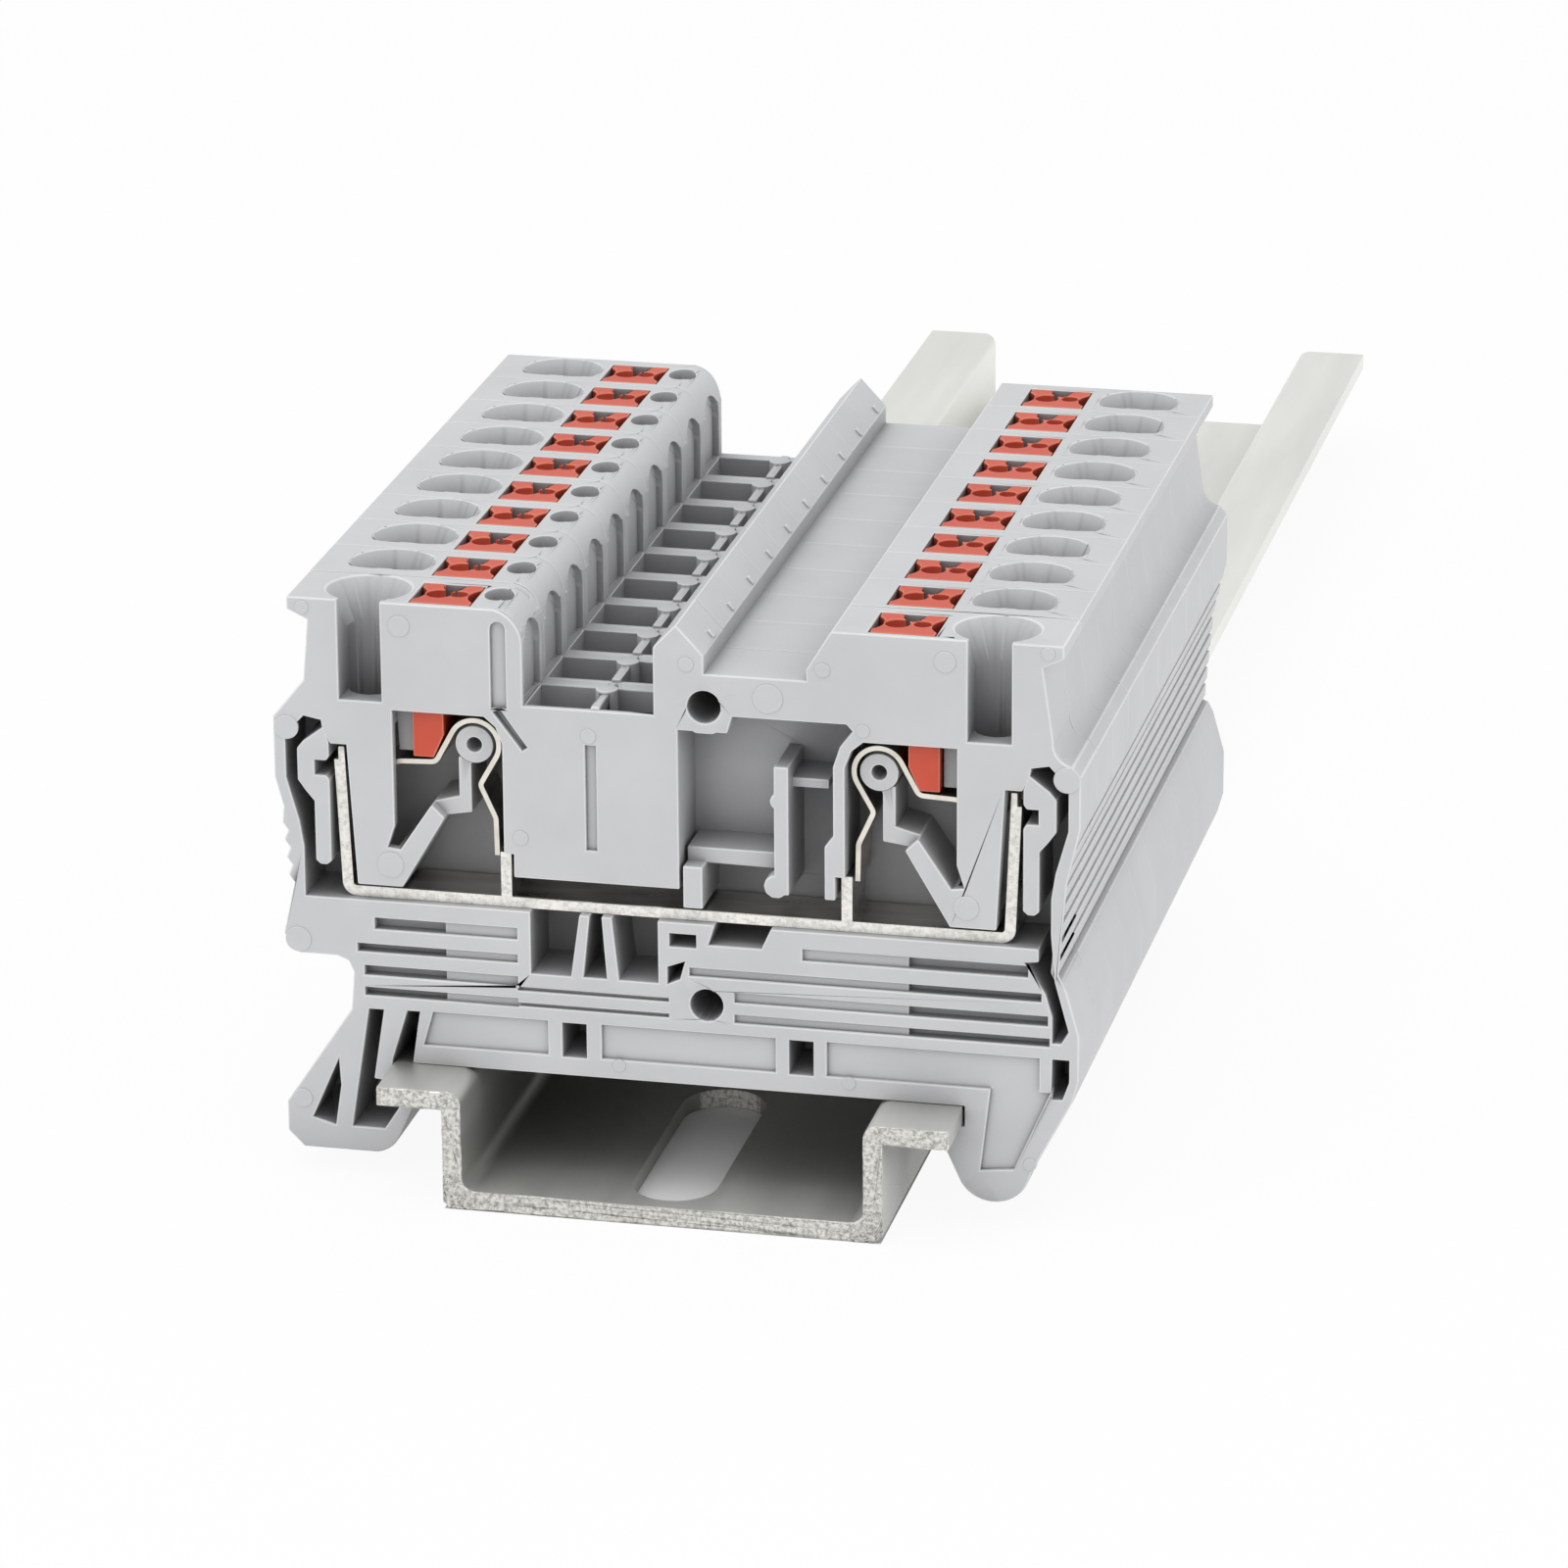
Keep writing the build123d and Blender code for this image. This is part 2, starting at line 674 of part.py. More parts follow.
def make_housing(index):
    """One terminal housing; the first is open to view and has all of its works."""
    entries = [wire_entry(index, side) for side in (-1, 1)]
    with BuildPart() as housing:
        with BuildSketch(face_plane(index)):
            silhouette(covered=index > 0)
        extrude(amount=-pitch)
        if index == 0:
            with BuildSketch(face_plane(index)):
                block(-block_half + 0.6, block_half, shelf_z, block_bottom)
                for side in (-1, 1):
                    clamp_cell(side)
                    side_space(side)
                    clip_hook(side)
                block(column_outer - 1.0, bar_half, shelf_z, column_foot)
                block(-bar_half, -column_outer + 1.0, shelf_z, column_foot)
                block(-column_inner, -block_half, shelf_z, column_foot)
                block(block_half, column_inner, shelf_z, column_foot)
                block(-column_outer, -column_inner, shelf_z, column_foot)
                block(column_inner, column_outer, shelf_z, column_foot)
                test_window()
                lower_spaces()
            extrude(amount=-pocket, mode=Mode.SUBTRACT)
            with BuildSketch(face_plane(index)):
                deep_grooves()
            extrude(amount=-deep_groove, mode=Mode.SUBTRACT)
            with BuildSketch(face_plane(index)):
                shallow_grooves()
            extrude(amount=-shallow_groove, mode=Mode.SUBTRACT)
            # The wire passes down behind the front wall of each column
            with BuildSketch(face_plane(index, column_wall)):
                for side in (-1, 1):
                    block(side * column_inner, side * column_outer, column_foot + 0.9, clamp_z + 1.0)
            extrude(amount=column_wall - pocket, mode=Mode.SUBTRACT)
            # Button guides, ledge and cross rib stand up from the back wall
            with BuildSketch(face_plane(index, pocket)):
                for side in (-1, 1):
                    block(
                        side * (button_outer + button_gap),
                        side * column_inner,
                        button_bottom + 0.1,
                        cell_top,
                    )
                block(window_left + 0.2, inward(0.6), block_bottom + 1.35, block_bottom + 2.35)
                block(inward(0.66), block_half - 1.2, clamp_z - 1.4, clamp_z - 0.8)
            extrude(amount=pocket - guide_recess)
            # Bosses and stems stand up from the back wall
            with BuildSketch(face_plane(index, pocket)):
                for side in (-1, 1):
                    with Locations((side * clamp_x, clamp_z)):
                        RegularPolygon(boss_radius, fine_sides)
                    polygon(
                        flip(
                            side,
                            [
                                (clamp_x + 0.2, clamp_z - 1.0),
                                (clamp_x + 1.0, clamp_z - 0.8),
                                (clamp_x + 1.0, clamp_z - 3.3),
                                (column_inner - 2.3, column_foot + 5.4),
                                (column_inner - 3.1, column_foot + 4.6),
                                (clamp_x + 0.2, clamp_z - 4.3),
                            ],
                        )
                    )
            extrude(amount=pocket - boss_recess)
            with BuildSketch(face_plane(index, boss_recess)):
                for side in (-1, 1):
                    with Locations((side * clamp_x, clamp_z)):
                        RegularPolygon(boss_bore, coarse_sides)
            extrude(amount=-2.0, mode=Mode.SUBTRACT)
            with BuildSketch(face_plane(index)):
                for z in (channel_floor + 0.7, waist_z - 1.4):
                    with Locations((marker_left, z)):
                        RegularPolygon(pin_hole, fine_sides)
            extrude(amount=-pitch, mode=Mode.SUBTRACT)
        else:
            with BuildSketch(face_plane(index)):
                plain_cells()
            extrude(amount=-pocket, mode=Mode.SUBTRACT)
            with BuildSketch(face_plane(index, pocket)):
                for side in (-1, 1):
                    with Locations((side * clamp_x, clamp_z)):
                        RegularPolygon(boss_radius, coarse_sides - 2)
            extrude(amount=pocket - boss_recess)
        for side, entry in zip((-1, 1), entries):
            button_shaft(index, side)
            add(entry, mode=Mode.SUBTRACT)
        bridge_shafts(index)
        tower_flute(index)
        probe_hole(index)
        if index == 0:
            side_ribs(index)
    return housing.part


def make_button(index, side):
    """Release button: a sculpted head for the screwdriver and a stem that meets the spring."""
    thickness = pocket - skin - 2 * button_gap
    front = skin + button_gap
    stem_inner = button_outer - button_stem
    foot = [(stem_inner, button_bottom + 1.45)]
    if index == 0:
        foot = [(stem_inner + 0.65, button_bottom), *foot]
    head_low = button_top - button_head
    middle = module_front(index) + front + thickness / 2
    centre = (button_inner + button_outer) / 2
    with BuildPart() as button:
        with BuildSketch(face_plane(index, front)):
            with BuildLine():
                Polyline(
                    (button_inner, button_top),
                    (button_outer, button_top),
                    (button_outer, button_bottom),
                    *foot,
                    (stem_inner, head_low),
                    (button_inner, head_low),
                    close=True,
                )
            make_face()
        extrude(amount=-thickness)
        # Waisted head with a screwdriver pit
        with BuildSketch(Plane.XY.offset(button_top)):
            for edge, inward in ((button_inner, 1), (button_outer, -1)):
                with Locations((edge, middle)):
                    Polygon((0, waist_half), (inward * waist_cut, 0), (0, -waist_half), align=None)
            with Locations((centre - 0.3, middle)):
                RegularPolygon(pit_radius, sides_of(index) - 2)
        extrude(amount=-pit_depth, mode=Mode.SUBTRACT)
        if side < 0:
            mirror(about=Plane.YZ, mode=Mode.REPLACE)
    return button.part


def make_spring(index, side):
    """Clamp spring: one bent strip round the boss, from wire edge to the bar's tab."""
    inner = boss_radius + spring_gap
    start, end = 27.0, 210.0
    steps = spring_steps if index == 0 else covered_spring_steps
    turn = (end - start) / steps
    reach = inner / cos(radians(turn / 2))
    loop = [
        (
            clamp_x + reach * cos(radians(start + turn * (step + 0.5))),
            clamp_z + reach * sin(radians(start + turn * (step + 0.5))),
        )
        for step in range(steps)
    ]
    leg = tab_face + leg_gap + spring_sheet
    knee = [(leg + 1.0, clamp_z - 2.5)]
    if index == 0:
        knee.append((leg + 0.05, clamp_z - 4.6))
    path = [
        (column_outer - 0.1, clamp_z - 2.2),
        (button_outer + 0.8, clamp_z - 1.5),
        (clamp_x + 2.3, clamp_z - 1.4),
        *loop,
        *knee,
        (leg, tab_top - 1.4),
    ]
    with BuildPart() as spring:
        with BuildSketch(face_plane(index, spring_front)):
            with BuildLine() as strip:
                Polyline(*path)
                offset(amount=spring_sheet, side=Side.RIGHT, kind=Kind.INTERSECTION)
            make_face()
        extrude(amount=-spring_width)
        if side < 0:
            mirror(about=Plane.YZ, mode=Mode.REPLACE)
    return spring.part


def make_bar(index):
    """Current bar: a wide strip bent into a U, with a tab behind each spring's leg."""
    foot = bar_half - bar_lean
    with BuildPart() as bar:
        with BuildSketch(face_plane(index, bar_front)):
            with BuildLine():
                if index == 0:
                    FilletPolyline(
                        (-bar_half, bar_top),
                        (-foot, shelf_z),
                        (foot, shelf_z),
                        (bar_half, bar_top),
                        radius=bar_bend,
                    )
                else:
                    Polyline(
                        (-bar_half, bar_top),
                        (-foot, shelf_z),
                        (foot, shelf_z),
                        (bar_half, bar_top),
                    )
                offset(amount=bar_sheet, side=Side.LEFT, kind=Kind.INTERSECTION)
            make_face()
            for side in (-1, 1):
                block(side * (tab_face - bar_sheet), side * tab_face, shelf_z + 0.1, tab_top)
        extrude(amount=-bar_width)
        # Step at the open end of each leg, under the housing's clip hook
        if index == 0:
            with BuildSketch(face_plane(index, bar_front)):
                for side in (-1, 1):
                    block(
                        side * (bar_half + 0.2),
                        side * (bar_half - tongue_step),
                        bar_top - tongue_length,
                        bar_top + 0.2,
                    )
            extrude(amount=-tongue_side, mode=Mode.SUBTRACT)
    return bar.part


def make_rail():
    """Slotted top-hat rail of bent sheet."""
    half = flange_end - flange_width
    with BuildPart() as rail:
        with BuildSketch(Plane.XZ.offset(-rail_length / 2)):
            with BuildLine():
                FilletPolyline(
                    (-flange_end, rail_height),
                    (-half + rail_sheet, rail_height),
                    (-half + rail_sheet, rail_sheet),
                    (half - rail_sheet, rail_sheet),
                    (half - rail_sheet, rail_height),
                    (flange_end, rail_height),
                    radius=[0, rail_bend, rail_bend, 0],
                )
                offset(amount=rail_sheet, side=Side.RIGHT, kind=Kind.ARC)
            make_face()
        extrude(amount=rail_length)
        # Slots on the centre line; the last one runs out through the sawn rear end
        slots = int((rail_length - slot_margin) // slot_pitch) + 1
        with BuildSketch(Plane.XY):
            for index in range(slots):
                y = slot_margin + slot_length / 2 + index * slot_pitch - rail_length / 2
                with Locations((0, y)):
                    SlotOverall(slot_length, slot_width, rotation=90)
        extrude(amount=rail_sheet, mode=Mode.SUBTRACT)
    return rail.part


def save(piece, name):
    """Label one piece and write it to its own file."""
    piece.label = name
    export_step(piece, f"parts/{name}.step")


save(make_rail(), "mounting_rail")
for index in range(modules):
    number = f"{index + 1:02d}"
    save(make_housing(index), f"housing_{number}")
    for side, hand in ((-1, "left"), (1, "right")):
        save(make_button(index, side), f"button_{hand}_{number}")
        save(make_spring(index, side), f"clamp_spring_{hand}_{number}")

with BuildPart() as current_bars:
    for index in range(modules):
        add(make_bar(index))
save(current_bars.part, "current_bars")
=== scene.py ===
import random
from math import cos, pi, radians, sin, tan

import bmesh
import bpy
from mathutils import Matrix, Quaternion, Vector


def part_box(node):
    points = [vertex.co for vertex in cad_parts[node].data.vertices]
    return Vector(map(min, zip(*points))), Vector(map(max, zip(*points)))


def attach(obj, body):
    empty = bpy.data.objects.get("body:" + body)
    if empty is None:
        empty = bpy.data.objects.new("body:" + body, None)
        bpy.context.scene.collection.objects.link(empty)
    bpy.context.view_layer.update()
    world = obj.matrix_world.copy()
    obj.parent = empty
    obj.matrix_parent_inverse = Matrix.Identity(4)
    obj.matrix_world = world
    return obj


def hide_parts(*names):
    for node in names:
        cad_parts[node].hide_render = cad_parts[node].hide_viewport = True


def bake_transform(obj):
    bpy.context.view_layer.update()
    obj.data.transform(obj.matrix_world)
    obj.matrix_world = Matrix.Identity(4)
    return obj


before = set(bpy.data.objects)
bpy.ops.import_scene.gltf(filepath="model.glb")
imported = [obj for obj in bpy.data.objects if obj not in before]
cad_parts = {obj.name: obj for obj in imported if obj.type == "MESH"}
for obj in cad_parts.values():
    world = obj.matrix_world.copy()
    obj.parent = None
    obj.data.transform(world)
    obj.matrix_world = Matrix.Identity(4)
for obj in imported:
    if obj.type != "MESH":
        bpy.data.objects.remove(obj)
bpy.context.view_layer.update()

scene = bpy.context.scene
scene.view_settings.view_transform = "Standard"

MM = 0.001

# Sizes of the terminals in metres, in the frame of the CAD
MODULES = 10
PITCH = 5.2 * MM
STRIP_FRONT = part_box("housing_01")[0][1]
TOWER_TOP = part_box("housing_01")[1][2]
BODY_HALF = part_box("housing_01")[1][0]
BACK_WALL = 0.9 * MM
SKIN = 0.45 * MM

# Wire entries
WIRE_X = 19.05 * MM
FUNNEL_RADIUS = 2.58 * MM
FUNNEL_DEPTH = 2.4 * MM
FUNNEL_WALL = 1.1 * MM
WIRE_BORE = 1.33 * MM
BORE_END = TOWER_TOP - 9.0 * MM
BOWL_HALF = 2.62 * MM
# Bowls are a little narrower along the rail, so that thin walls stay between them
OPEN_SQUEEZE, CLOSED_SQUEEZE = 0.97, 0.95

# Clamp works of the open terminal
CLAMP_X = 12.3 * MM
CLAMP_Z = TOWER_TOP - 8.8 * MM
BOSS_RADIUS = 1.17 * MM
BOSS_BORE = 0.45 * MM
BOSS_RECESS = 0.8 * MM
PIN_X = 1.934 * MM
PIN_HOLE = 1.0 * MM
PIN_BOSS = 1.5 * MM
PIN_HEIGHTS = (TOWER_TOP - 5.2 * MM, 12.7 * MM)
SPRING_SHEET = 0.3 * MM
SPRING_FRONT = 0.8 * MM
SPRING_WIDTH = 3.0 * MM

# Bridge channel, hump and test hole
CHANNEL_FLOOR = TOWER_TOP - 5.9 * MM
CHANNEL_LEFT = -9.07 * MM
POST_X = -4.7 * MM
POST_Y = 3.1 * MM
POST_RADIUS = 0.68 * MM
POST_BLOCK = 0.8 * MM
POST_NECK = 0.28 * MM
FLUTE = 2.0 * MM
PROBE_X = -11.15 * MM
PROBE_RADIUS = 0.86 * MM
PROBE_STRETCH = 1.35

# Button pockets: how far the plastic reaches in from the end beside the channel and
# from the end beside the right wire entry
LEFT_END = 0.5 * MM
RIGHT_END = 0.25 * MM
BUTTON_GAP = 0.08 * MM
POCKET_LAP = 0.2 * MM

# Right wall and its finger ribs
WAIST = 14.1 * MM
SHOULDER = TOWER_TOP - 7.3 * MM
RIB_COUNT = 8
RIB_PITCH = 1.15 * MM
RIB_TOP = WAIST + 10.3 * MM
RIB_SHEET = 0.5 * MM
# Outline of one groove in millimetres, outwards from the wall and up
GROOVE = ((-0.34, 0.06), (0.3, 0.34), (0.3, -0.34), (-0.34, -0.1))


def module_front(index):
    """Place of one terminal's open face along the rail."""
    return STRIP_FRONT + index * PITCH


def number(index):
    """The two figures that a terminal's nodes end in."""
    return f"{index + 1:02d}"


# Camera fitted to the photograph: place in millimetres, direction of view and roll
CAMERA_PLACE = (97.518, -479.144, 173.534)
CAMERA_AIM = (-0.208304, 0.918498, -0.336112)
CAMERA_ROLL = radians(-0.372)


def make_camera():
    """Long lens from the right of the open face, a little above it."""
    data = bpy.data.cameras.new("camera")
    data.sensor_width = 36.0
    data.sensor_fit = "HORIZONTAL"
    data.lens = 170.03
    data.clip_start = 0.01
    camera = bpy.data.objects.new("camera", data)
    scene.collection.objects.link(camera)
    camera.location = Vector(CAMERA_PLACE) * MM
    camera.rotation_mode = "QUATERNION"
    turn = Vector(CAMERA_AIM).to_track_quat("-Z", "Y")
    camera.rotation_quaternion = turn @ Quaternion((0.0, 0.0, 1.0), CAMERA_ROLL)
    scene.camera = camera


make_camera()


# Materials: cells of noise per metre, depths of relief, and how far hollows are looked into for
# the painted shade
CLOUDS, GRAIN = 140.0, 5200.0
GRAIN_RELIEF, SAWN_RELIEF = 0.02 * MM, 0.06 * MM
PLASTIC_SHADE_REACH, RAIL_SHADE_REACH = 4.5 * MM, 10.0 * MM
PAINTED_SHADE_SAMPLES = 4


def new_material(name):
    """Empty node material with a Principled shader; gives its tree and that shader."""
    material = bpy.data.materials.new(name)
    material.use_nodes = True
    return material, material.node_tree, material.node_tree.nodes["Principled BSDF"]


def noise(tree, scale, detail=3.0, roughness=0.55, stretch=(1.0, 1.0, 1.0)):
    """Noise in object coordinates; scale counts its cells per metre."""
    place = tree.nodes.new("ShaderNodeTexCoord")
    mapping = tree.nodes.new("ShaderNodeMapping")
    mapping.inputs["Scale"].default_value = stretch
    texture = tree.nodes.new("ShaderNodeTexNoise")
    texture.inputs["Scale"].default_value = scale
    texture.inputs["Detail"].default_value = detail
    texture.inputs["Roughness"].default_value = roughness
    tree.links.new(place.outputs["Object"], mapping.inputs["Vector"])
    tree.links.new(mapping.outputs["Vector"], texture.inputs["Vector"])
    return texture.outputs["Fac"]


def ramp(tree, value, *stops):
    """Colour ramp from (place, colour) stops."""
    node = tree.nodes.new("ShaderNodeValToRGB")
    elements = node.color_ramp.elements
    while len(elements) < len(stops):
        elements.new(0.5)
    for element, (place, colour) in zip(elements, stops):
        element.position = place
        element.color = (*colour, 1.0)
    tree.links.new(value, node.inputs["Fac"])
    return node.outputs["Color"]


def span(tree, value, low, high):
    """Maps 0..1 to low..high."""
    node = tree.nodes.new("ShaderNodeMapRange")
    node.inputs["To Min"].default_value = low
    node.inputs["To Max"].default_value = high
    tree.links.new(value, node.inputs["Value"])
    return node.outputs["Result"]


def hollow(tree, reach):
    """How open a spot is, the mask of the painted shade: 1 in the open, towards 0 deep in a
    hollow.
    """
    node = tree.nodes.new("ShaderNodeAmbientOcclusion")
    node.samples = PAINTED_SHADE_SAMPLES
    node.inputs["Distance"].default_value = reach
    return node.outputs["AO"]


def remap(tree, value, start, stop, low, high):
    """Maps start..stop to low..high, with no values beyond them."""
    node = tree.nodes.new("ShaderNodeMapRange")
    for name, limit in zip(("From Min", "From Max", "To Min", "To Max"), (start, stop, low, high)):
        node.inputs[name].default_value = limit
    tree.links.new(value, node.inputs["Value"])
    return node.outputs["Result"]


def with_painted_shade(tree, colour, reach, start, stop, low):
    """Painted shade: the colour, darker down to the share low in hollows, where shade falls."""
    node = tree.nodes.new("ShaderNodeVectorMath")
    node.operation = "SCALE"
    tree.links.new(colour, node.inputs[0])
    tree.links.new(remap(tree, hollow(tree, reach), start, stop, low, 1.0), node.inputs["Scale"])
    return node.outputs["Vector"]


def bump(tree, shader, height, strength, distance):
    """Fine relief on the shader's normal."""
    node = tree.nodes.new("ShaderNodeBump")
    node.inputs["Strength"].default_value = strength
    node.inputs["Distance"].default_value = distance
    tree.links.new(height, node.inputs["Height"])
    tree.links.new(node.outputs["Normal"], shader.inputs["Normal"])


def moulded_plastic(name, dark, light, rough, grain_strength, low=0.4):
    """Moulded polyamide: faint flow clouds, fine spark-eroded grain, satin, and painted shade in
    hollows.
    """
    material, tree, shader = new_material(name)
    clouds = noise(tree, CLOUDS, detail=4.0)
    colour = ramp(tree, clouds, (0.35, dark), (0.68, light))
    # Painted shade: the base colour is darkened in hollows, where shade falls
    shaded = with_painted_shade(tree, colour, PLASTIC_SHADE_REACH, 0.25, 0.9, low)
    tree.links.new(shaded, shader.inputs["Base Color"])
    grain = noise(tree, GRAIN, detail=2.0)
    tree.links.new(span(tree, grain, rough - 0.05, rough + 0.07), shader.inputs["Roughness"])
    bump(tree, shader, grain, grain_strength, GRAIN_RELIEF)
    shader.inputs["IOR"].default_value = 1.53
    return material


def strip_metal(name, dark, light, rough, stretch, scale=900.0, shaded=False):
    """Rolled strip: fine streaks along its length on bright metal, with painted shade in wide
    hollows.
    """
    material, tree, shader = new_material(name)
    streaks = noise(tree, scale, detail=5.0, stretch=stretch)
    colour = ramp(tree, streaks, (0.3, dark), (0.7, light))
    # Painted shade: the base colour is darkened in wide hollows, where shade falls
    if shaded:
        colour = with_painted_shade(tree, colour, RAIL_SHADE_REACH, 0.15, 0.8, 0.2)
    tree.links.new(colour, shader.inputs["Base Color"])
    tree.links.new(span(tree, streaks, rough - 0.08, rough + 0.12), shader.inputs["Roughness"])
    bump(tree, shader, streaks, 0.25, GRAIN_RELIEF)
    shader.inputs["Metallic"].default_value = 1.0
    return material


def sawn_metal(name, dark, light, rough, scale, relief):
    """Cut face of a sheet: grains with dark pits, hardly any shine."""
    material, tree, shader = new_material(name)
    grains = noise(tree, scale, detail=6.0, roughness=0.7)
    tree.links.new(ramp(tree, grains, (0.36, dark), (0.56, light)), shader.inputs["Base Color"])
    tree.links.new(span(tree, grains, rough - 0.1, rough + 0.1), shader.inputs["Roughness"])
    bump(tree, shader, grains, relief, SAWN_RELIEF)
    shader.inputs["Metallic"].default_value = 0.5
    return material


GREY = moulded_plastic(
    "moulded_grey", (0.592, 0.596, 0.612), (0.634, 0.637, 0.652), 0.46, 0.22,
)
# Lighter grey of the small rounded edges: a painted highlight
GREY_PAINTED_HIGHLIGHT = moulded_plastic(
    "moulded_grey_painted_highlight", (0.74, 0.745, 0.745), (0.80, 0.805, 0.805), 0.42, 0.15,
)
ORANGE = moulded_plastic(
    "moulded_orange", (0.60, 0.065, 0.03), (0.68, 0.09, 0.04), 0.4, 0.18, low=0.6,
)
# Lighter orange of the small rounded edges: a painted highlight
ORANGE_PAINTED_HIGHLIGHT = moulded_plastic(
    "moulded_orange_painted_highlight", (0.78, 0.17, 0.095), (0.84, 0.22, 0.125), 0.36, 0.12, low=0.6,
)
SPRING = strip_metal(
    "rolled_spring_steel", (0.36, 0.34, 0.31), (0.60, 0.57, 0.53), 0.3, (1.0, 0.1, 1.0),
)
SPRING_EDGE = strip_metal(
    "spring_sheared_edge", (0.72, 0.68, 0.60), (0.92, 0.88, 0.80), 0.42, (1.0, 1.0, 1.0),
)
TINNED = strip_metal(
    "tinned_strip", (0.44, 0.43, 0.40), (0.72, 0.70, 0.66), 0.28, (0.2, 1.0, 1.0),
)
TINNED_EDGE = sawn_metal(
    "tinned_sheared_edge", (0.66, 0.64, 0.60), (0.95, 0.93, 0.89), 0.42, 3400.0, 0.2,
)
# The rail's colour carries painted shade in its wide hollows
RAIL = strip_metal(
    "zinc_plated_sheet", (0.90, 0.90, 0.865), (0.985, 0.985, 0.95), 0.5, (1.0, 0.12, 1.0),
    scale=260.0, shaded=True,
)
RAIL_CUT = sawn_metal(
    "rail_sawn_face", (0.36, 0.35, 0.33), (0.84, 0.83, 0.79), 0.7, 3600.0, 0.6,
)


# Solids and meshes
X_AXIS, Y_AXIS, Z_AXIS = 0, 1, 2

# Points nearer than this are one point
DOUBLE = 0.0005 * MM
# A triangle lower than this over its longest side gets no rounded edge
SLIVER = 0.004 * MM
# Faces that turn less than this against each other are one flat face
FLAT = radians(0.1)
# Convex edges that turn more than CORNER are rounded; more than SMOOTH is shaded as sharp
CORNER, SMOOTH = radians(28), radians(22)


def loft(work, rings):
    """Adds a closed solid through rings of points, with flat ends."""
    loops = [[work.verts.new(point) for point in ring] for ring in rings]
    for low, high in zip(loops, loops[1:]):
        for here in range(len(low)):
            after = (here + 1) % len(low)
            work.faces.new((low[here], low[after], high[after], high[here]))
    work.faces.new(loops[0][::-1])
    work.faces.new(loops[-1])


def prism(work, outline, low, high, axis):
    """Adds a prism: the outline's two coordinates lie across the axis, low to high along it."""
    rings = []
    for along in (low, high):
        ring = []
        for first, second in outline:
            place = [first, second]
            place.insert(axis, along)
            ring.append(place)
        rings.append(ring)
    loft(work, rings)


def disc(x, z, radius, sides=48):
    """Outline of a circle."""
    turns = [2 * pi * side / sides for side in range(sides)]
    return [(x + radius * cos(turn), z + radius * sin(turn)) for turn in turns]


def box(x0, x1, z0, z1):
    """Outline of a rectangle."""
    return [(x0, z0), (x1, z0), (x1, z1), (x0, z1)]


def ball(work, centre, radius, height):
    """Adds an upright ellipsoid."""
    spot = Matrix.Translation(centre) @ Matrix.Diagonal((radius, radius, height, 1.0))
    bmesh.ops.create_uvsphere(work, u_segments=32, v_segments=20, radius=1.0, matrix=spot)


def as_mesh(work, name):
    """Mesh of a finished bmesh, its normals outwards."""
    bmesh.ops.recalc_face_normals(work, faces=work.faces)
    mesh = bpy.data.meshes.new(name)
    work.to_mesh(mesh)
    work.free()
    return mesh


def carved(mesh, *steps):
    """The mesh after booleans; each step is an operation and the bmesh of its solids."""
    target = bpy.data.objects.new("blank", mesh)
    scene.collection.objects.link(target)
    tools = []
    for operation, work in steps:
        tool = bpy.data.objects.new("tool", as_mesh(work, "tool"))
        scene.collection.objects.link(tool)
        tools.append(tool)
        modifier = target.modifiers.new(operation, "BOOLEAN")
        modifier.operation = operation
        modifier.object = tool
        modifier.solver = "EXACT"
        modifier.use_self = True
    graph = bpy.context.evaluated_depsgraph_get()
    result = bpy.data.meshes.new_from_object(target.evaluated_get(graph))
    for spare in [target, *tools]:
        bpy.data.objects.remove(spare)
    return result


def node_mesh(node):
    """Copy of a CAD node's mesh without double points."""
    work = bmesh.new()
    work.from_mesh(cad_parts[node].data)
    bmesh.ops.remove_doubles(work, verts=work.verts, dist=DOUBLE)
    return as_mesh(work, node + "_copy")


def is_sliver(face):
    """Whether a triangle is too thin to carry a rounded edge."""
    longest = max(side.calc_length() for side in face.edges)
    return 2 * face.calc_area() <= SLIVER * longest


def softened(mesh, width, corner=CORNER):
    """The mesh with small rounded edges, which take the second material; on the plastics that is a
    lighter colour, a painted highlight.
    """
    work = bmesh.new()
    work.from_mesh(mesh)
    bmesh.ops.remove_doubles(work, verts=work.verts, dist=DOUBLE)
    bmesh.ops.dissolve_degenerate(work, edges=work.edges, dist=DOUBLE)
    bmesh.ops.triangulate(work, faces=work.faces)
    flat = [edge for edge in work.edges if edge.is_manifold and edge.calc_face_angle() < FLAT]
    bmesh.ops.beautify_fill(
        work, faces=work.faces, edges=flat, use_restrict_tag=False, method="ANGLE",
    )
    edges = [
        edge
        for edge in work.edges
        if edge.is_manifold and edge.is_convex and edge.calc_face_angle() > corner
        and not any(is_sliver(face) for face in edge.link_faces)
    ]
    for face in work.faces:
        face.material_index = 0
    bmesh.ops.bevel(
        work, geom=edges, offset=width, offset_type="OFFSET", segments=2, profile=0.5,
        affect="EDGES", clamp_overlap=False, loop_slide=False, material=1,
    )
    result = bpy.data.meshes.new(mesh.name + "_softened")
    work.to_mesh(result)
    work.free()
    return result


def place_piece(name, mesh, materials, slot, *nodes, shift=0.0, body=None):
    """Links a piece, moved along the rail, that stands for its nodes."""
    mesh = mesh.copy()
    mesh.name = name
    for material in materials:
        mesh.materials.append(material)
    mesh.transform(Matrix.Translation((0.0, shift, 0.0)))
    mesh.shade_smooth()
    mesh.set_sharp_from_angle(angle=SMOOTH)
    piece = bpy.data.objects.new(name, mesh)
    scene.collection.objects.link(piece)
    piece.modifiers.new("normals", "WEIGHTED_NORMAL").keep_sharp = True
    if body:
        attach(piece, body)
    if nodes:
        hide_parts(*nodes)
    return piece


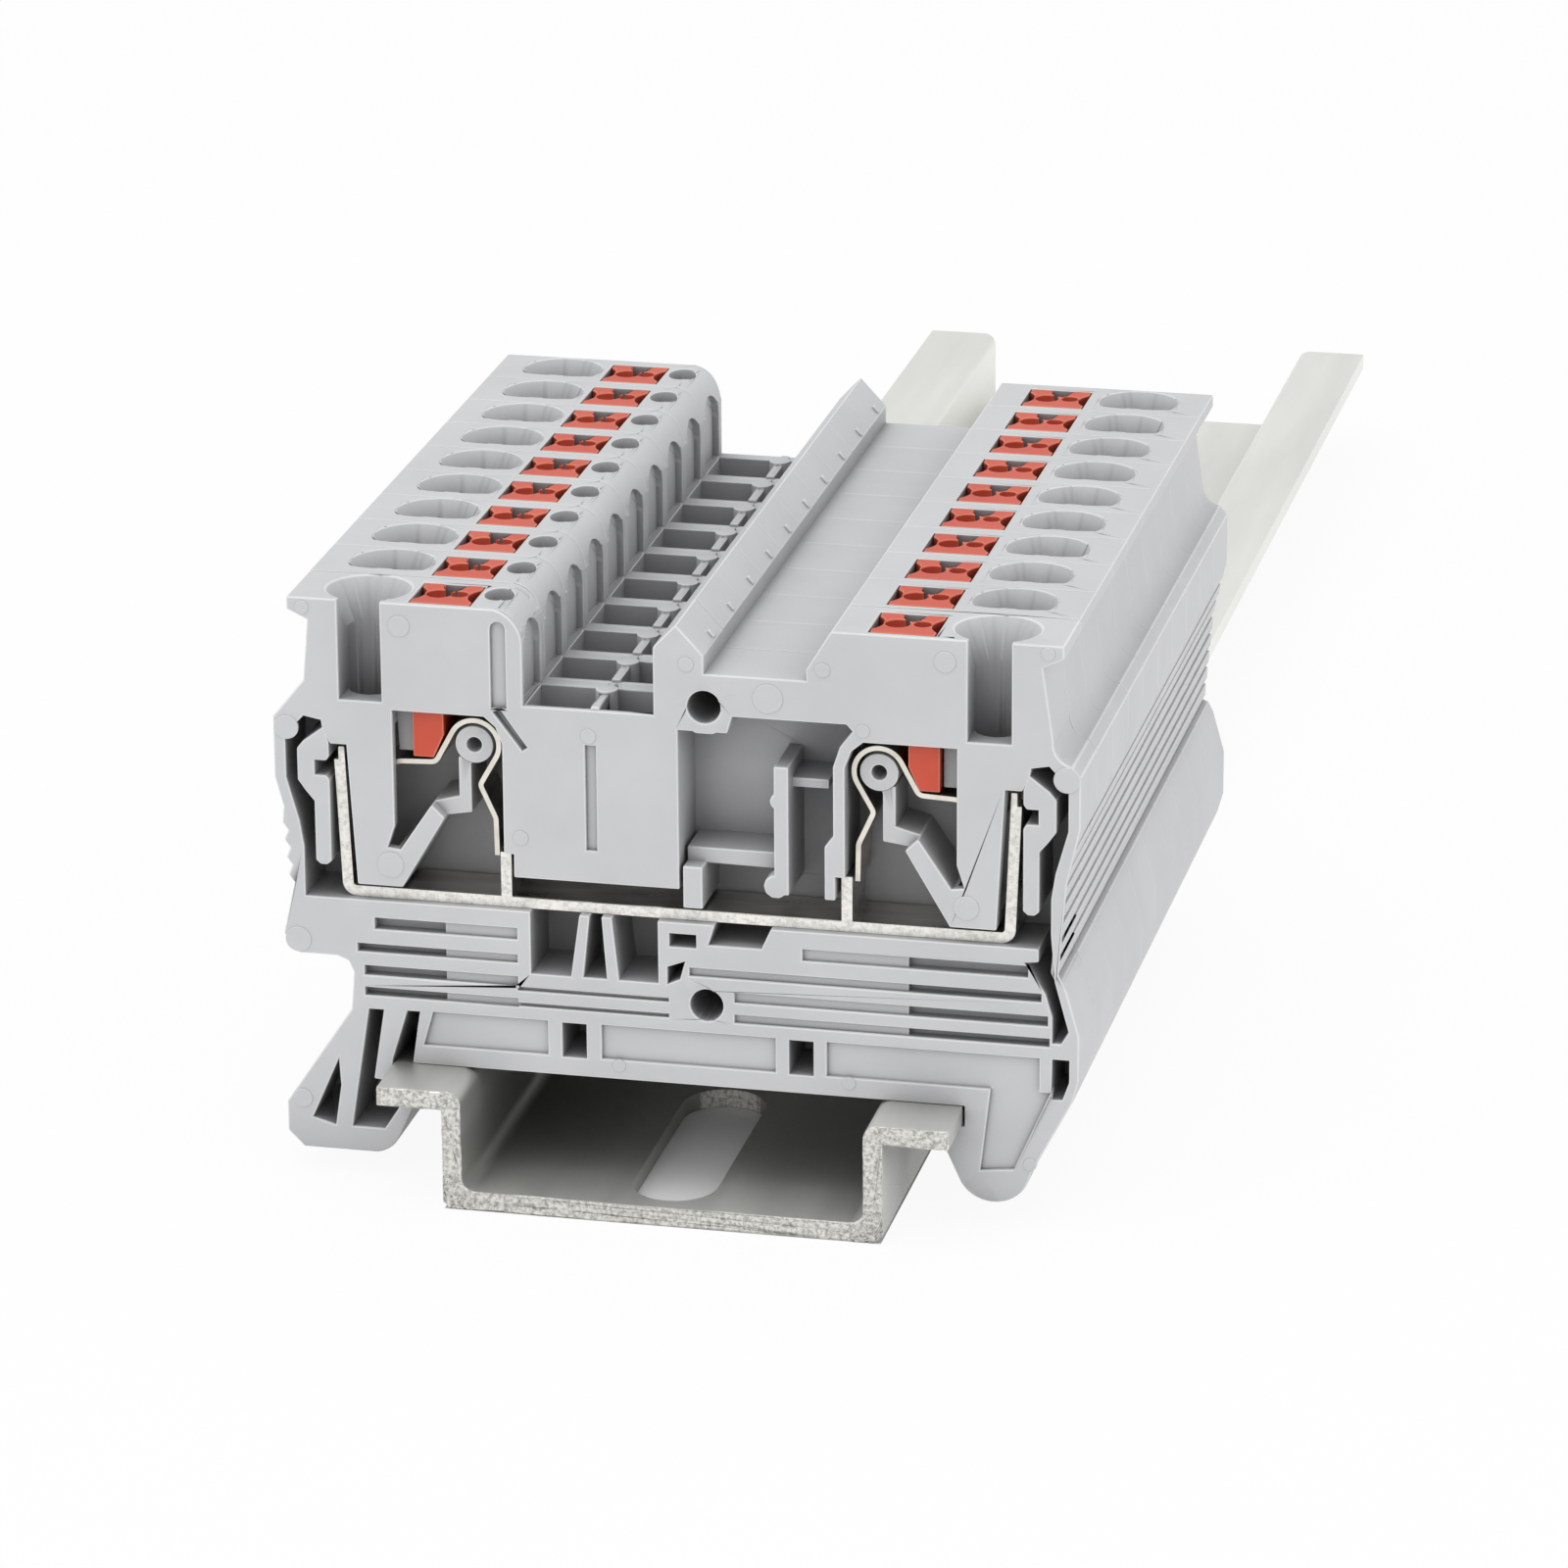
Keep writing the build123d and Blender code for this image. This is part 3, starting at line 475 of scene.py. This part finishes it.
# Terminals
def funnel(work, index, side):
    """Smooth bowl and bore of one wire entry, cut flat behind a closed terminal's face."""
    front = module_front(index)
    middle = front + PITCH / 2
    face = front - MM if index == 0 else front + FUNNEL_WALL
    squeeze = OPEN_SQUEEZE if index == 0 else CLOSED_SQUEEZE
    low = TOWER_TOP - FUNNEL_DEPTH
    flare = FUNNEL_RADIUS + (FUNNEL_RADIUS - WIRE_BORE) * MM / FUNNEL_DEPTH
    levels = [
        (TOWER_TOP + MM, flare),
        (low, WIRE_BORE),
        (BORE_END, WIRE_BORE),
    ]
    rings = [
        [
            (side * WIRE_X + x, max(middle + squeeze * y, face), z)
            for x, y in disc(0.0, 0.0, radius, 64)
        ]
        for z, radius in levels
    ]
    loft(work, rings)


def curve(start, middle, end, steps=16):
    """Points of a smooth arch through three points."""
    start, middle, end = (Vector(point) for point in (start, middle, end))
    pull = 2 * middle - (start + end) / 2
    points = []
    for step in range(steps + 1):
        t = step / steps
        points.append(start * (1 - t) ** 2 + pull * 2 * t * (1 - t) + end * t ** 2)
    return points


def channel_details(cut, join, index):
    """Lowered post block with its round post, arched flute of the tower wall, pip on the hump."""
    front = module_front(index)
    block = box(
        POST_X - POST_BLOCK, POST_X + POST_BLOCK, CHANNEL_FLOOR - 4.5 * MM, CHANNEL_FLOOR + MM,
    )
    prism(cut, block, front + SKIN, front + PITCH - BACK_WALL, Y_AXIS)
    post = disc(POST_X, front + POST_Y, POST_RADIUS)
    prism(join, post, CHANNEL_FLOOR - 5.0 * MM, CHANNEL_FLOOR + 0.4 * MM, Z_AXIS)
    neck = box(
        POST_X - POST_NECK, POST_X + POST_NECK, CHANNEL_FLOOR - 0.7 * MM, CHANNEL_FLOOR + 0.2 * MM,
    )
    prism(join, neck, front + 0.15 * MM, front + PITCH - 0.4 * MM, Y_AXIS)
    middle, crown, foot = front + 2.5 * MM, TOWER_TOP - 3.3 * MM, CHANNEL_FLOOR + 0.01 * MM
    turns = [pi * step / 24 for step in range(25)]
    flute = [(middle + FLUTE * cos(turn), crown + FLUTE * sin(turn)) for turn in turns]
    flute += [(middle - FLUTE, foot), (middle + FLUTE, foot)]
    prism(cut, flute, CHANNEL_LEFT - 0.45 * MM, CHANNEL_LEFT + MM, X_AXIS)
    pip = [
        (1.294 * MM, TOWER_TOP - 1.456 * MM), (1.584 * MM, TOWER_TOP - 1.387 * MM),
        (1.934 * MM, TOWER_TOP - 1.765 * MM), (1.844 * MM, TOWER_TOP - 2.05 * MM),
    ]
    prism(join, pip, front + 2.9 * MM, front + 3.3 * MM, Y_AXIS)


def tower_edge():
    """Rounded edge of the left tower beside the channel."""
    return curve(
        (-10.769 * MM, TOWER_TOP),
        (-9.619 * MM, TOWER_TOP - 0.7 * MM),
        (-9.069 * MM, TOWER_TOP - 2.3 * MM),
    )


def pocket_ends(join, cut, index):
    """Plastic at the ends of both button pockets, and the long test hole by the left one."""
    front = module_front(index)
    low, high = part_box("button_left_01")
    span_y = low[1] - POCKET_LAP + index * PITCH, high[1] + POCKET_LAP + index * PITCH
    plug_low = TOWER_TOP - 4.3 * MM
    left_end = high[0] - LEFT_END
    foot = ((-9.4 * MM, plug_low), (left_end, plug_low), (left_end, TOWER_TOP))
    prism(join, tower_edge() + [Vector(point) for point in foot], *span_y, Y_AXIS)
    right_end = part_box("button_right_01")[1][0]
    plug = box(
        right_end - RIGHT_END, right_end + POCKET_LAP, TOWER_TOP - 3.6 * MM, TOWER_TOP,
    )
    prism(join, plug, *span_y, Y_AXIS)
    middle = front + PITCH / 2 + 0.4 * MM
    hole = [(PROBE_X + x, middle + PROBE_STRETCH * y) for x, y in disc(0.0, 0.0, PROBE_RADIUS)]
    prism(cut, hole, TOWER_TOP - 4.1 * MM, TOWER_TOP + MM, Z_AXIS)


def wall_half(z):
    """Half width of the waisted right wall at a height."""
    low, mid = WAIST + 2.2 * MM, SHOULDER - 7.4 * MM
    if z < low:
        return BODY_HALF - 1.3 * MM + 0.5 * (low - z)
    if z < mid:
        return BODY_HALF - 1.3 * MM + 0.5 * MM * (z - low) / (mid - low)
    return BODY_HALF - 0.8 * MM + 0.8 * MM * (z - mid) / (3.5 * MM)


def finger_ribs(join, cut, index, rim):
    """Right wall made plain behind a rim, then cut with narrow grooves along the rail."""
    front = module_front(index)
    heights = [RIB_TOP, SHOULDER - 7.4 * MM, WAIST + 2.2 * MM, WAIST + 1.1 * MM]
    outline = [(wall_half(z), z) for z in heights]
    outline += [(BODY_HALF, WAIST - 1.6 * MM), (BODY_HALF - RIB_SHEET, WAIST - 1.6 * MM)]
    outline += [(wall_half(z) - RIB_SHEET, z) for z in reversed(heights)]
    prism(join, outline, front + rim, front + PITCH, Y_AXIS)
    for rib in range(RIB_COUNT):
        z = RIB_TOP - (rib + 0.2) * RIB_PITCH
        groove = [(wall_half(z) + out * MM, z + up * MM) for out, up in GROOVE]
        start = front + rim if rim else front - 0.1 * MM
        prism(cut, groove, start, front + PITCH + 0.1 * MM, Y_AXIS)


def round_edges(cut, join, index):
    """Rounded channel edge and valley of a closed terminal, chords in its CAD solid."""
    front = module_front(index)
    inside = ((-10.0 * MM, TOWER_TOP - 2.3 * MM), (-10.769 * MM, TOWER_TOP - 1.2 * MM))
    edge = tower_edge() + [Vector(point) for point in inside]
    prism(join, edge, front, front + PITCH, Y_AXIS)
    valley = curve(
        (BODY_HALF - 1.65 * MM, SHOULDER + 1.4 * MM),
        (BODY_HALF - 1.3 * MM, SHOULDER + 0.35 * MM),
        (BODY_HALF - 0.5 * MM, SHOULDER - 0.1 * MM),
    )
    valley.append(Vector((BODY_HALF, SHOULDER + MM)))
    prism(cut, valley, front - MM, front + PITCH + MM, Y_AXIS)


def closed_terminal():
    """Second terminal with smooth bowls; the others behind it are its copies."""
    fill, cut, join = bmesh.new(), bmesh.new(), bmesh.new()
    front = module_front(1)
    for side in (-1, 1):
        # The CAD solid's plain bowl is filled before the smooth one is cut
        x = side * WIRE_X
        bowl = box(x - BOWL_HALF, x + BOWL_HALF, TOWER_TOP - FUNNEL_DEPTH, TOWER_TOP)
        prism(fill, bowl, front + 0.3 * MM, front + PITCH - 0.05 * MM, Y_AXIS)
        funnel(cut, 1, side)
    # Finger grip of the left wall
    for tooth in range(4):
        x, z = -BODY_HALF + (0.28 - 0.06 * tooth) * MM, (18.9 + 1.1 * tooth) * MM
        prism(cut, disc(x, z, 0.42 * MM, 20), front - MM, front + PITCH + MM, Y_AXIS)
    round_edges(cut, fill, 1)
    pocket_ends(fill, cut, 1)
    finger_ribs(fill, cut, 1, 0.0)
    channel_details(cut, join, 1)
    steps = (("UNION", fill), ("DIFFERENCE", cut), ("UNION", join))
    return softened(carved(node_mesh("housing_02"), *steps), 0.07 * MM)


def open_terminal():
    """First terminal with round bosses, bores and bowls."""
    fill, cut, join, bores = bmesh.new(), bmesh.new(), bmesh.new(), bmesh.new()
    front = module_front(0)
    pocket = front + PITCH - BACK_WALL
    for side in (-1, 1):
        funnel(cut, 0, side)
        boss = disc(side * CLAMP_X, CLAMP_Z, BOSS_RADIUS)
        prism(join, boss, front + BOSS_RECESS - 0.01 * MM, pocket + 0.2 * MM, Y_AXIS)
        bore = disc(side * CLAMP_X, CLAMP_Z, BOSS_BORE, 32)
        prism(bores, bore, front - MM, front + 3.0 * MM, Y_AXIS)
    prism(join, disc(PIN_X, PIN_HEIGHTS[0], PIN_BOSS), front + SKIN, pocket + 0.2 * MM, Y_AXIS)
    for z in PIN_HEIGHTS:
        prism(bores, disc(PIN_X, z, PIN_HOLE), front - MM, front + PITCH + MM, Y_AXIS)
    pocket_ends(fill, cut, 0)
    finger_ribs(fill, cut, 0, 0.3 * MM)
    channel_details(cut, join, 0)
    # Slanted slit that leads from the pill groove round the left clamp cell
    slit = [
        (-10.5 * MM, TOWER_TOP - 6.2 * MM), (-8.85 * MM, TOWER_TOP - 8.5 * MM),
        (-9.15 * MM, TOWER_TOP - 8.7 * MM), (-10.9 * MM, TOWER_TOP - 6.4 * MM),
    ]
    prism(cut, slit, front - MM, front + 0.5 * MM, Y_AXIS)
    steps = (("UNION", fill), ("DIFFERENCE", cut), ("UNION", join), ("DIFFERENCE", bores))
    return softened(carved(node_mesh("housing_01"), *steps), 0.1 * MM)


# Grey, and the lighter grey of the rounded edges that paints their highlight
GREY_WITH_PAINTED_HIGHLIGHT = (GREY, GREY_PAINTED_HIGHLIGHT)
place_piece("terminal_01", open_terminal(), GREY_WITH_PAINTED_HIGHLIGHT, "housing_plastic", "housing_01", body="strip")
closed = closed_terminal()
for index in range(1, MODULES):
    place_piece(
        f"terminal_{number(index)}", closed, GREY_WITH_PAINTED_HIGHLIGHT, "housing_plastic", f"housing_{number(index)}",
        shift=(index - 1) * PITCH, body="strip",
    )

# Ejector marks on the open face, as places across and up and radii in millimetres
EJECTOR_MARKS = [
    (-22.5, 36.1, 0.4), (-16.56, 35.3, 0.65), (-23.67, 28.5, 0.75), (-17.4, 20.2, 0.8),
    (-9.33, 22.5, 0.45), (-5.1, 29.2, 0.45), (0.87, 34.1, 0.45), (5.8, 32.3, 0.9),
    (9.1, 34.3, 0.45), (11.5, 30.7, 0.4), (16.4, 35.3, 0.65), (22.5, 36.2, 0.4),
    (23.67, 28.5, 0.8), (17.7, 20.1, 0.75), (-23.3, 15.0, 0.8), (-23.3, 4.7, 0.6),
    (-3.5, 8.4, 0.4), (10.6, 8.4, 0.4), (21.6, 4.1, 0.4),
]
MARK_HEIGHT = 0.05 * MM
MARK_ROOT = 0.2 * MM


def ejector_marks():
    """Flat discs that the mould's ejector pins leave, a hair proud of the face."""
    work = bmesh.new()
    for x, z, radius in EJECTOR_MARKS:
        mark = disc(x * MM, z * MM, radius * MM, 32)
        prism(work, mark, STRIP_FRONT - MARK_HEIGHT, STRIP_FRONT + MARK_ROOT, Y_AXIS)
    return softened(as_mesh(work, "marks"), 0.03 * MM)


place_piece("ejector_marks", ejector_marks(), GREY_WITH_PAINTED_HIGHLIGHT, "housing_plastic", body="strip")


# Release buttons
HEAD_HEIGHT = 4.0 * MM
STEM_WIDTH = 1.9 * MM
FOOT_WIDTH = 0.65 * MM
FOOT_HEIGHT = 1.45 * MM
SCOOP_RADIUS = 1.6 * MM
SCOOP_DEPTH = 0.5 * MM
PIT_DEPTH = 1.5 * MM


def pusher(hand, side):
    """Button with hollowed ends, a notch at its back and two pits for the screwdriver."""
    low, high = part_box(f"button_{hand}_01")
    outer = max(low[0], high[0], key=abs)
    stem = outer - side * STEM_WIDTH
    top = TOWER_TOP - 0.01 * MM
    left, right = low[0], high[0] - (LEFT_END if side < 0 else RIGHT_END) - BUTTON_GAP
    head_inner, head_outer = sorted((left, right), key=abs)
    shelf = top - HEAD_HEIGHT
    step = [] if side < 0 else [(head_outer, shelf + 0.1 * MM), (outer, shelf + 0.1 * MM)]
    profile = [
        (head_inner, top), (head_outer, top), *step,
        (outer, low[2]), (stem + side * FOOT_WIDTH, low[2]), (stem, low[2] + FOOT_HEIGHT),
        (stem, shelf), (head_inner, shelf),
    ]
    work = bmesh.new()
    prism(work, profile, low[1], high[1], Y_AXIS)
    cut = bmesh.new()
    middle = (low[1] + high[1]) / 2
    floor, above = top - PIT_DEPTH, top + MM
    for end, way in ((left, -1), (right, 1)):
        scoop = disc(end + way * (SCOOP_RADIUS - SCOOP_DEPTH), middle, SCOOP_RADIUS, 56)
        prism(cut, scoop, floor, above, Z_AXIS)
    centre = (left + right) / 2 + 0.1 * MM
    notch = [
        (centre - 0.95 * MM, high[1] + MM), (centre - 0.35 * MM, high[1] - 1.3 * MM),
        (centre + 0.35 * MM, high[1] - 1.3 * MM), (centre + 0.95 * MM, high[1] + MM),
    ]
    prism(cut, notch, floor, above, Z_AXIS)
    ball(cut, (left + 1.3 * MM, middle + 0.05 * MM, top + 0.05 * MM), 0.76 * MM, 1.3 * MM)
    ball(cut, (right - 1.1 * MM, middle + 0.15 * MM, top + 0.1 * MM), 0.54 * MM, 1.0 * MM)
    return softened(carved(as_mesh(work, "pusher"), ("DIFFERENCE", cut)), 0.08 * MM)


for side, hand in ((-1, "left"), (1, "right")):
    shape = pusher(hand, side)
    for index in range(MODULES):
        tail = f"{hand}_{number(index)}"
        place_piece(
            f"pusher_{tail}", shape, (ORANGE, ORANGE_PAINTED_HIGHLIGHT), "button_plastic", f"button_{tail}",
            shift=index * PITCH, body=f"press_{tail}",
        )


# Clamp springs
# A face is cut across the sheet where its normal lies along the rail by more than this share
SHEARED, SAWN = 0.9, 0.7


def rounded(points, radius, steps=6):
    """The run through the points, its corners rounded."""
    path = [points[0]]
    for before, corner, after in zip(points, points[1:], points[2:]):
        back, ahead = before - corner, after - corner
        half = back.angle(ahead) / 2
        reach = min(radius / tan(half), 0.45 * back.length, 0.45 * ahead.length)
        start, end = corner + back.normalized() * reach, corner + ahead.normalized() * reach
        for step in range(steps + 1):
            t = step / steps
            path.append(start * (1 - t) ** 2 + corner * 2 * t * (1 - t) + end * t ** 2)
    return [*path, points[-1]]


def clamp_spring(side):
    """Bent strip from the wire's edge over the boss and down behind the bar's tab."""
    radius = BOSS_RADIUS + 0.19 * MM
    boss = Vector((CLAMP_X, CLAMP_Z))
    loop_start, loop_end, loop_steps = radians(27), radians(210), 20
    arm = [
        boss + Vector((7.6, -2.2)) * MM,
        boss + Vector((4.5, -1.5)) * MM,
        boss + Vector((2.3, -1.4)) * MM,
        boss + radius * Vector((cos(loop_start), sin(loop_start))),
    ]
    loop = []
    for step in range(1, loop_steps):
        turn = loop_start + (loop_end - loop_start) * step / loop_steps
        loop.append(boss + radius * Vector((cos(turn), sin(turn))))
    leg = [
        boss + radius * Vector((cos(loop_end), sin(loop_end))),
        boss + Vector((-0.15, -2.5)) * MM,
        boss + Vector((-1.1, -4.6)) * MM,
        boss + Vector((-1.15, -6.9)) * MM,
    ]
    path = rounded(arm, 0.7 * MM) + loop + rounded(leg, 0.6 * MM)
    front = STRIP_FRONT + SPRING_FRONT
    rings = []
    for place, point in enumerate(path):
        along = path[min(place + 1, len(path) - 1)] - path[max(place - 1, 0)]
        across = Vector((along.y, -along.x)).normalized() * SPRING_SHEET
        outer = point + across
        rings.append([
            (side * point.x, front, point.y),
            (side * point.x, front + SPRING_WIDTH, point.y),
            (side * outer.x, front + SPRING_WIDTH, outer.y),
            (side * outer.x, front, outer.y),
        ])
    work = bmesh.new()
    loft(work, rings)
    return as_mesh(work, "spring")


def edge_faces(mesh):
    """Gives the cut faces that look along the rail the second material."""
    for face in mesh.polygons:
        face.material_index = 1 if abs(face.normal.y) > SHEARED else 0
    return mesh


for side, hand in ((-1, "left"), (1, "right")):
    shape = edge_faces(clamp_spring(side))
    for index in range(MODULES):
        tail = f"{hand}_{number(index)}"
        spring = place_piece(
            f"clamp_{tail}", shape, (SPRING, SPRING_EDGE), "spring_steel", f"clamp_spring_{tail}",
            shift=index * PITCH,
        )
        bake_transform(spring)

# Current bars
bars = edge_faces(softened(node_mesh("current_bars"), 0.06 * MM))
place_piece(
    "bar_strips", bars, (TINNED, TINNED_EDGE), "tinned_copper", "current_bars", body="strip",
)


# Rail
RAIL_SHEET = 1.2 * MM
RAIL_TURN = 2.0 * MM
RAIL_WALL = 13.5 * MM
RAIL_HEIGHT = 7.5 * MM
BEND_ROUND = 0.9 * MM
SHARP_CORNER = 0.4 * MM
# Burr of the sawn end: how deep it reaches in, its largest step in millimetres, and the cuts
# that each long edge of the end gets for it
BURR_REACH = 0.2 * MM
BURR = 0.12
BURR_CUTS = 12


def rail_bends(fill, cut):
    """Nearly sharp lower corners and rounded upper bends along the rail."""
    low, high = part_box("mounting_rail")
    for side in (-1, 1):
        half = RAIL_SHEET / 2
        corner = [
            (RAIL_WALL, SHARP_CORNER), (RAIL_WALL, RAIL_TURN), (RAIL_WALL - half, RAIL_TURN),
            (RAIL_WALL - RAIL_TURN, half), (RAIL_WALL - RAIL_TURN, 0.0),
            (RAIL_WALL - SHARP_CORNER, 0.0),
        ]
        prism(fill, [(side * x, z) for x, z in corner], low[1], high[1], Y_AXIS)
        centre = RAIL_WALL - RAIL_SHEET + BEND_ROUND
        turns = [pi / 2 * step / 10 for step in range(11)]
        bend = [
            (centre - BEND_ROUND * cos(turn), RAIL_HEIGHT - BEND_ROUND + BEND_ROUND * sin(turn))
            for turn in turns
        ]
        bend += [(centre, RAIL_HEIGHT + MM), (centre - BEND_ROUND - MM, RAIL_HEIGHT + MM)]
        bend.append((centre - BEND_ROUND - MM, RAIL_HEIGHT - BEND_ROUND))
        prism(cut, [(side * x, z) for x, z in bend], low[1] - MM, high[1] + MM, Y_AXIS)


def hat_rail():
    """Rail with a ragged burr along its sawn front end."""
    fill, cut = bmesh.new(), bmesh.new()
    rail_bends(fill, cut)
    blank = carved(node_mesh("mounting_rail"), ("UNION", fill), ("DIFFERENCE", cut))
    work = bmesh.new()
    work.from_mesh(softened(blank, 0.08 * MM, corner=radians(40)))
    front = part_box("mounting_rail")[0][1]
    rim = [
        edge for edge in work.edges
        if all(vert.co.y < front + BURR_REACH for vert in edge.verts)
        and edge.calc_length() > 0.5 * MM
    ]
    bmesh.ops.subdivide_edges(work, edges=rim, cuts=BURR_CUTS)
    chance = random.Random(7)
    for vert in work.verts:
        if vert.co.y < front + BURR_REACH:
            vert.co.y += chance.uniform(0.0, BURR) * MM
    mesh = bpy.data.meshes.new("hat_rail")
    work.to_mesh(mesh)
    work.free()
    for face in mesh.polygons:
        face.material_index = 1 if abs(face.normal.y) > SAWN else 0
    return mesh


place_piece("hat_rail", hat_rail(), (RAIL, RAIL_CUT), "rail_steel", "mounting_rail", body="rail")


# Floor, backdrop and light
FLOOR_WHITE = 0.93
LIGHT_COLOUR, LIGHT_STRENGTH = (0.985, 0.99, 0.985, 1.0), 0.74


def white_to_camera(tree, shader_out, output, share):
    """Mixes plain white into what the camera and clear reflections see of a surface."""
    path = tree.nodes.new("ShaderNodeLightPath")
    either = tree.nodes.new("ShaderNodeMath")
    either.operation = "MAXIMUM"
    tree.links.new(path.outputs["Is Camera Ray"], either.inputs[0])
    tree.links.new(path.outputs["Is Glossy Ray"], either.inputs[1])
    both = tree.nodes.new("ShaderNodeMath")
    both.operation = "MAXIMUM"
    tree.links.new(either.outputs[0], both.inputs[0])
    tree.links.new(path.outputs["Is Transmission Ray"], both.inputs[1])
    part = tree.nodes.new("ShaderNodeMath")
    part.operation = "MULTIPLY"
    tree.links.new(both.outputs[0], part.inputs[0])
    tree.links.new(share, part.inputs[1])
    white = tree.nodes.new("ShaderNodeEmission")
    mix = tree.nodes.new("ShaderNodeMixShader")
    tree.links.new(part.outputs[0], mix.inputs["Fac"])
    tree.links.new(shader_out, mix.inputs[1])
    tree.links.new(white.outputs["Emission"], mix.inputs[2])
    tree.links.new(mix.outputs["Shader"], output)


def beyond(tree, half_x, half_y):
    """Share of white: none on the floor under the rail's web, nearly all beside it."""
    place = tree.nodes.new("ShaderNodeTexCoord")
    parts = tree.nodes.new("ShaderNodeSeparateXYZ")
    tree.links.new(place.outputs["Object"], parts.inputs[0])
    outside = []
    for axis, half in (("X", half_x), ("Y", half_y)):
        size = tree.nodes.new("ShaderNodeMath")
        size.operation = "ABSOLUTE"
        tree.links.new(parts.outputs[axis], size.inputs[0])
        test = tree.nodes.new("ShaderNodeMath")
        test.operation = "GREATER_THAN"
        test.inputs[1].default_value = half
        tree.links.new(size.outputs[0], test.inputs[0])
        outside.append(test.outputs[0])
    either = tree.nodes.new("ShaderNodeMath")
    either.operation = "MAXIMUM"
    for value, socket in zip(outside, either.inputs):
        tree.links.new(value, socket)
    return span(tree, either.outputs[0], 0.0, FLOOR_WHITE)


def make_floor():
    """Wide pale floor under the rail."""
    work = bmesh.new()
    bmesh.ops.create_grid(work, x_segments=1, y_segments=1, size=3.0)
    mesh = bpy.data.meshes.new("floor")
    work.to_mesh(mesh)
    work.free()
    material, tree, shader = new_material("pale_floor")
    shader.inputs["Roughness"].default_value = 0.9
    shade = ramp(tree, noise(tree, 30.0), (0.3, (0.86, 0.86, 0.86)), (0.7, (0.88, 0.88, 0.88)))
    tree.links.new(shade, shader.inputs["Base Color"])
    output = tree.nodes["Material Output"].inputs["Surface"]
    share = beyond(tree, RAIL_WALL - 0.1 * MM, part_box("mounting_rail")[1][1])
    white_to_camera(tree, shader.outputs["BSDF"], output, share)
    mesh.materials.append(material)
    floor = bpy.data.objects.new("floor", mesh)
    scene.collection.objects.link(floor)


def make_world():
    """White backdrop to the camera, soft even light on the object."""
    world = bpy.data.worlds.new("studio")
    world.use_nodes = True
    scene.world = world
    tree = world.node_tree
    light = tree.nodes["Background"]
    light.inputs["Color"].default_value = LIGHT_COLOUR
    light.inputs["Strength"].default_value = LIGHT_STRENGTH
    white = tree.nodes.new("ShaderNodeBackground")
    white.inputs["Strength"].default_value = 1.0
    path = tree.nodes.new("ShaderNodeLightPath")
    mix = tree.nodes.new("ShaderNodeMixShader")
    tree.links.new(path.outputs["Is Camera Ray"], mix.inputs["Fac"])
    tree.links.new(light.outputs["Background"], mix.inputs[1])
    tree.links.new(white.outputs["Background"], mix.inputs[2])
    tree.links.new(mix.outputs["Shader"], tree.nodes["World Output"].inputs["Surface"])


def area_light(name, place, aim, size, watts):
    """Square soft box at a place, turned to a point."""
    data = bpy.data.lights.new(name, "AREA")
    data.size = size
    data.energy = watts
    lamp = bpy.data.objects.new(name, data)
    scene.collection.objects.link(lamp)
    lamp.location = place
    lamp.rotation_mode = "QUATERNION"
    lamp.rotation_quaternion = (Vector(aim) - Vector(place)).to_track_quat("-Z", "Y")


make_floor()
make_world()
CENTRE = (0.0, -0.05, 0.02)
area_light("soft_box_top", (-0.15, -0.25, 0.75), CENTRE, 0.6, 1.7)
area_light("soft_box_front", (-0.45, -0.75, 0.35), CENTRE, 0.6, 0.8)
area_light("soft_box_right", (0.7, -0.2, 0.35), CENTRE, 0.6, 0.8)
